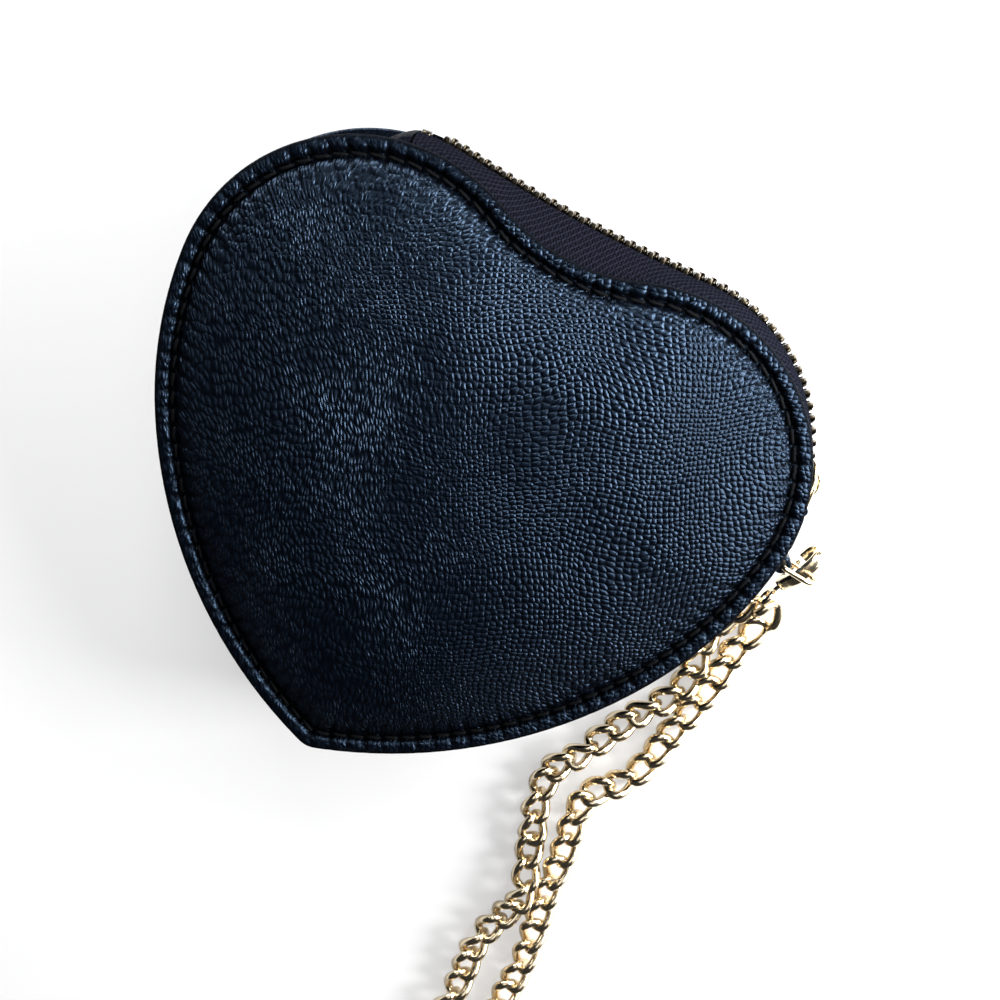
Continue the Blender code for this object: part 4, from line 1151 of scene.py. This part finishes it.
class POUCH_OT_clasp(bpy.types.Operator):
    """Folded leather tab, D-ring, lobster clasp with its lever and pin, and swivel eye"""
    bl_idname = "pouch.clasp"
    bl_label = "Ring and clasp"

    def execute(self, context):
        self.ring(context.scene.pouch_hardware.ring_wire)
        along, up = Vector((math.cos(CLASP_TURN), math.sin(CLASP_TURN), 0)), Vector((0, 0, 1))
        axes = Matrix((along, up, along.cross(up))).transposed().to_4x4()
        self.clasp(Matrix.Translation(Vector(CLASP_PLACE) * MM) @ axes)
        return {"FINISHED"}

    def ring(self, wire):
        """The tab folded round the ring's bar, and the D-ring."""
        bar = Matrix.Translation(Vector(RING_PLACE) * MM) @ Matrix.Rotation(TAB_TURN, 4, "Z")
        upper = np.array(((-3.8, 0.5, 0), (-2.6, 0.5, 0), (-1.7, 0.6, 0), (-1.2, 0.85, 0)))
        lower = upper[::-1] * (1, -1, 1)
        strip = np.concatenate([upper, arc((0, 0), 1.4, 135, -135, 19), lower]) * MM
        tab = tube_grid(strip, 0.48 * MM, 20, flat=2.55 / 0.48, square=0.4)
        leather("ring_fold", [turned(tab, bar)], "back_half", "ring_tab")
        half, leg, corner = 4.0 * MM, 3.9 * MM, 1.0 * MM
        line = np.concatenate([
            arc((leg, 0), half, -90, 90, 25), arc((corner, half - corner), corner, 90, 180, 7),
            arc((corner, corner - half), corner, 180, 270, 7),
        ])[:, (0, 2, 1)]
        ring = tube_grid(line, wire / 2, 18, (0, 1, 0), closed=True)
        metal("ring_wire", [turned(ring, bar)], "ring", "d_ring")

    def clasp(self, home):
        """The clasp's pieces, drawn with x towards the hook and y upwards, then put in place."""
        hook = np.concatenate([
            ((-5.5, 0, 0), (-5.0, 0.0, 0), (-4.4, 0.25, 0), (-3.9, 0.8, 0), (-3.45, 1.5, 0)),
            arc((0, 0), 3.62, 148, 90, 8), arc((1.8, 0), 3.62, 84, -84, 22),
            ((1.4, -3.62, 0), (1.1, -3.62, 0)),
        ]) * MM
        at = np.arange(len(hook))
        thick = np.interp(
            at, (0, 2, 3, 5, 8, 12, 25, 36), (1.3, 1.5, 1.55, 1.2, 0.85, 0.78, 0.78, 0.7)) * MM
        deep = np.interp(at, (0, 3, 8, 28, 36), (1.2, 1.35, 1.35, 1.25, 1.0)) * MM
        body = tube_grid(hook, thick, 22, flat=deep / thick, square=0.8)
        belly = np.array((
            (-4.9, -0.5, 0), (-4.4, -1.2, 0), (-3.8, -1.9, 0), (-3.1, -2.4, 0), (-2.7, -2.5, 0),
        )) * MM
        cheek = tube_grid(
            belly, np.array((0.7, 1.15, 1.2, 1.0, 0.5)) * MM, 18,
            flat=np.array((1.4, 0.95, 0.92, 1.05, 1.7)), square=0.8)
        finger = np.array((
            (-3.9, -3.0, 0), (-3.1, -3.3, 0), (-2.2, -3.6, 0), (-1.2, -3.75, 0),
            (-0.2, -3.75, 0), (0.3, -3.7, 0),
        )) * MM
        lever = tube_grid(
            finger, np.array((0.35, 0.5, 0.6, 0.62, 0.6, 0.45)) * MM, 14, flat=0.8, square=0.8)
        axle = np.array(((-3.1, -2.4, -1.15), (-3.1, -2.4, 1.15))) * MM
        axle, radius = rounded_ends(axle, 0.4 * MM, 3)
        pin = tube_grid(axle, radius, 16, (1, 0, 0))
        eye = tube_grid(
            arc((-8.7 * MM, 0), 1.6 * MM, 0, 360, 33)[:-1], 0.6 * MM, 16, closed=True)
        stem = tube_grid(
            np.array(((-7.0, 0, 0), (-6.2, 0, 0), (-5.0, 0, 0))) * MM, 0.45 * MM, 14)
        for name, grids, rides, node, sharp in (
            ("clasp_hook", (body, cheek), "clasp", "clasp_body", 40),
            ("lever_finger", (lever,), "lever", "clasp_lever", 50),
            ("pin", (pin,), "clasp", "lever_pin", 50),
            ("eye_ring", (eye, stem), "eye", "swivel_eye", 50),
        ):
            metal(name, [turned(g, home) for g in grids], rides, node, sharp=sharp)


class POUCH_OT_carried(bpy.types.Operator):
    """Finishes for the model's own pieces that stay visible"""
    bl_idname = "pouch.carried"
    bl_label = "Carried pieces"

    def execute(self, context):
        for slot, surface in (
            ("pale_gold", "polished_metal"), ("lining_cloth", "lining_weave"),
            ("padded_board", "felted_board"), ("crosshatch_leather", "front_grain"),
            ("zip_tape", "zip_weave"),
        ):
            repaint(slot, finish(surface))
        return {"FINISHED"}


# Stage

# Floor's half width and height, the point that the lamps face, and each lamp's place and size
FLOOR_REACH = 2.0
FLOOR_Z = -0.3 * MM
AIM = (0.0, 0.0, 0.02)
LAMPS = (
    ("key", (0.30, 0.05, 0.14), 0.12), ("side", (0.50, -0.12, 0.22), 0.20),
    ("top", (-0.05, 0.35, 0.20), 0.20), ("corner", (-0.15, 0.20, 0.12), 0.12),
    ("over", (0.12, 0.02, 0.72), 0.45), ("near", (0.10, 0.03, 0.07), 0.05),
)


def camera_axes():
    """The camera's place and its right, down and forward axes in the object's frame.

    The picture plane's axes are turned by the yaw and tilt against the front rim's plane, which is
    FOCAL / SCALE away along the view's axis.
    """
    cx, sx, cy, sy = math.cos(TILT), math.sin(TILT), math.cos(YAW), math.sin(YAW)
    yaw = np.array([[cy, 0, sy], [0, 1, 0], [-sy, 0, cy]])
    tilt = np.array([[1, 0, 0], [0, cx, -sx], [0, sx, cx]])
    plane = np.array((
        (math.cos(ROLL), math.sin(ROLL), 0), (math.sin(ROLL), -math.cos(ROLL), 0), (0, 0, -1),
    ))
    axes = yaw @ tilt @ plane
    return CENTRE - FOCAL / SCALE * axes[2], axes


def put(name, data, columns, where):
    """A camera or lamp at a place, with its own x, y and z along the given columns."""
    made = bpy.data.objects.new(name, data)
    matrix = np.eye(4)
    matrix[:3, :3] = np.stack(columns, axis=-1)
    matrix[:3, 3] = where
    made.matrix_world = Matrix(matrix.tolist())
    bpy.context.scene.collection.objects.link(made)
    return made


class POUCH_OT_stage(bpy.types.Operator):
    """Floor, soft lights, sky and the camera at the photograph's angle"""
    bl_idname = "pouch.stage"
    bl_label = "Stage"

    def execute(self, context):
        look = context.scene.pouch_stage
        eye, (right, down, forward) = camera_axes()
        camera = bpy.data.cameras.new("camera")
        camera.sensor_width = 36
        camera.lens = camera.sensor_width * FOCAL / PICTURE
        camera.clip_start = 0.01
        context.scene.camera = put("camera", camera, (right, -down, -forward), eye)
        self.floor(look.lift)
        for name, away, size in LAMPS:
            where = AIM + np.array(away) @ np.stack([right, -down, -forward])
            self.lamp(name, where, size, getattr(look, name))
        world = bpy.data.worlds.new("sky")
        world.use_nodes = True
        context.scene.world = world
        sky = world.node_tree.nodes["Background"]
        sky.inputs[0].default_value = (0.93, 0.95, 1.0, 1)
        sky.inputs[1].default_value = look.sky
        context.scene.view_settings.view_transform = "Standard"
        return {"FINISHED"}

    def lamp(self, name, where, size, power):
        """A square lamp that faces the object."""
        data = bpy.data.lights.new(name, "AREA")
        data.shape = "SQUARE"
        data.size = size
        data.energy = power
        back = unit(where - np.array(AIM))
        side = unit(np.cross((0, 0, 1.0), back))
        put(name, data, (side, np.cross(back, side), back), where)

    def floor(self, lift):
        """A plain floor just below the object, with some plain white as the camera sees it."""
        corners = np.array([(-1, -1, 0), (1, -1, 0), (1, 1, 0), (-1, 1, 0)]) * FLOOR_REACH
        f = Finish("floor", Roughness=0.8, Base_Color=as_colour(colours().floor))
        white = f.add("ShaderNodeEmission", None, {"Color": (1, 1, 1, 1), "Strength": 1.0})
        f.blend(f.add("ShaderNodeLightPath") * lift, white)
        floor = make("floor", corners + (0, 0, FLOOR_Z), [[0, 1, 2, 3]], f.material)


OPERATORS = (
    POUCH_OT_stage, POUCH_OT_chain, POUCH_OT_carried, POUCH_OT_front, POUCH_OT_back,
    POUCH_OT_gusset, POUCH_OT_zip, POUCH_OT_slider, POUCH_OT_clasp,
)
GROUPS = {
    "pouch_shape": HeartShape, "pouch_hardware": Hardware, "pouch_colours": Colours,
    "pouch_stage": StageLook,
}


class POUCH_PT_panel(bpy.types.Panel):
    """Lists the pouch's pieces and its sizes"""
    bl_idname = "POUCH_PT_panel"
    bl_label = "Heart pouch"
    bl_space_type = "VIEW_3D"
    bl_region_type = "UI"
    bl_category = "Pouch"

    def draw(self, context):
        for cls in OPERATORS:
            self.layout.operator(cls.bl_idname)
        for name in GROUPS:
            group = getattr(context.scene, name)
            for key in group.__annotations__:
                self.layout.prop(group, key)


CLASSES = (*GROUPS.values(), *OPERATORS, POUCH_PT_panel)


def register():
    for cls in CLASSES:
        bpy.utils.register_class(cls)
    for name, group in GROUPS.items():
        setattr(bpy.types.Scene, name, PointerProperty(type=group))


def unregister():
    for name in GROUPS:
        delattr(bpy.types.Scene, name)
    for cls in reversed(CLASSES):
        bpy.utils.unregister_class(cls)


def main():
    register()
    bpy.ops.pouch.stage()
    bpy.ops.pouch.chain()
    bpy.ops.pouch.carried()
    bpy.ops.pouch.front()
    bpy.ops.pouch.back()
    bpy.ops.pouch.gusset()
    bpy.ops.pouch.zip()
    bpy.ops.pouch.slider()
    bpy.ops.pouch.clasp()


if __name__ == "__main__":
    main()
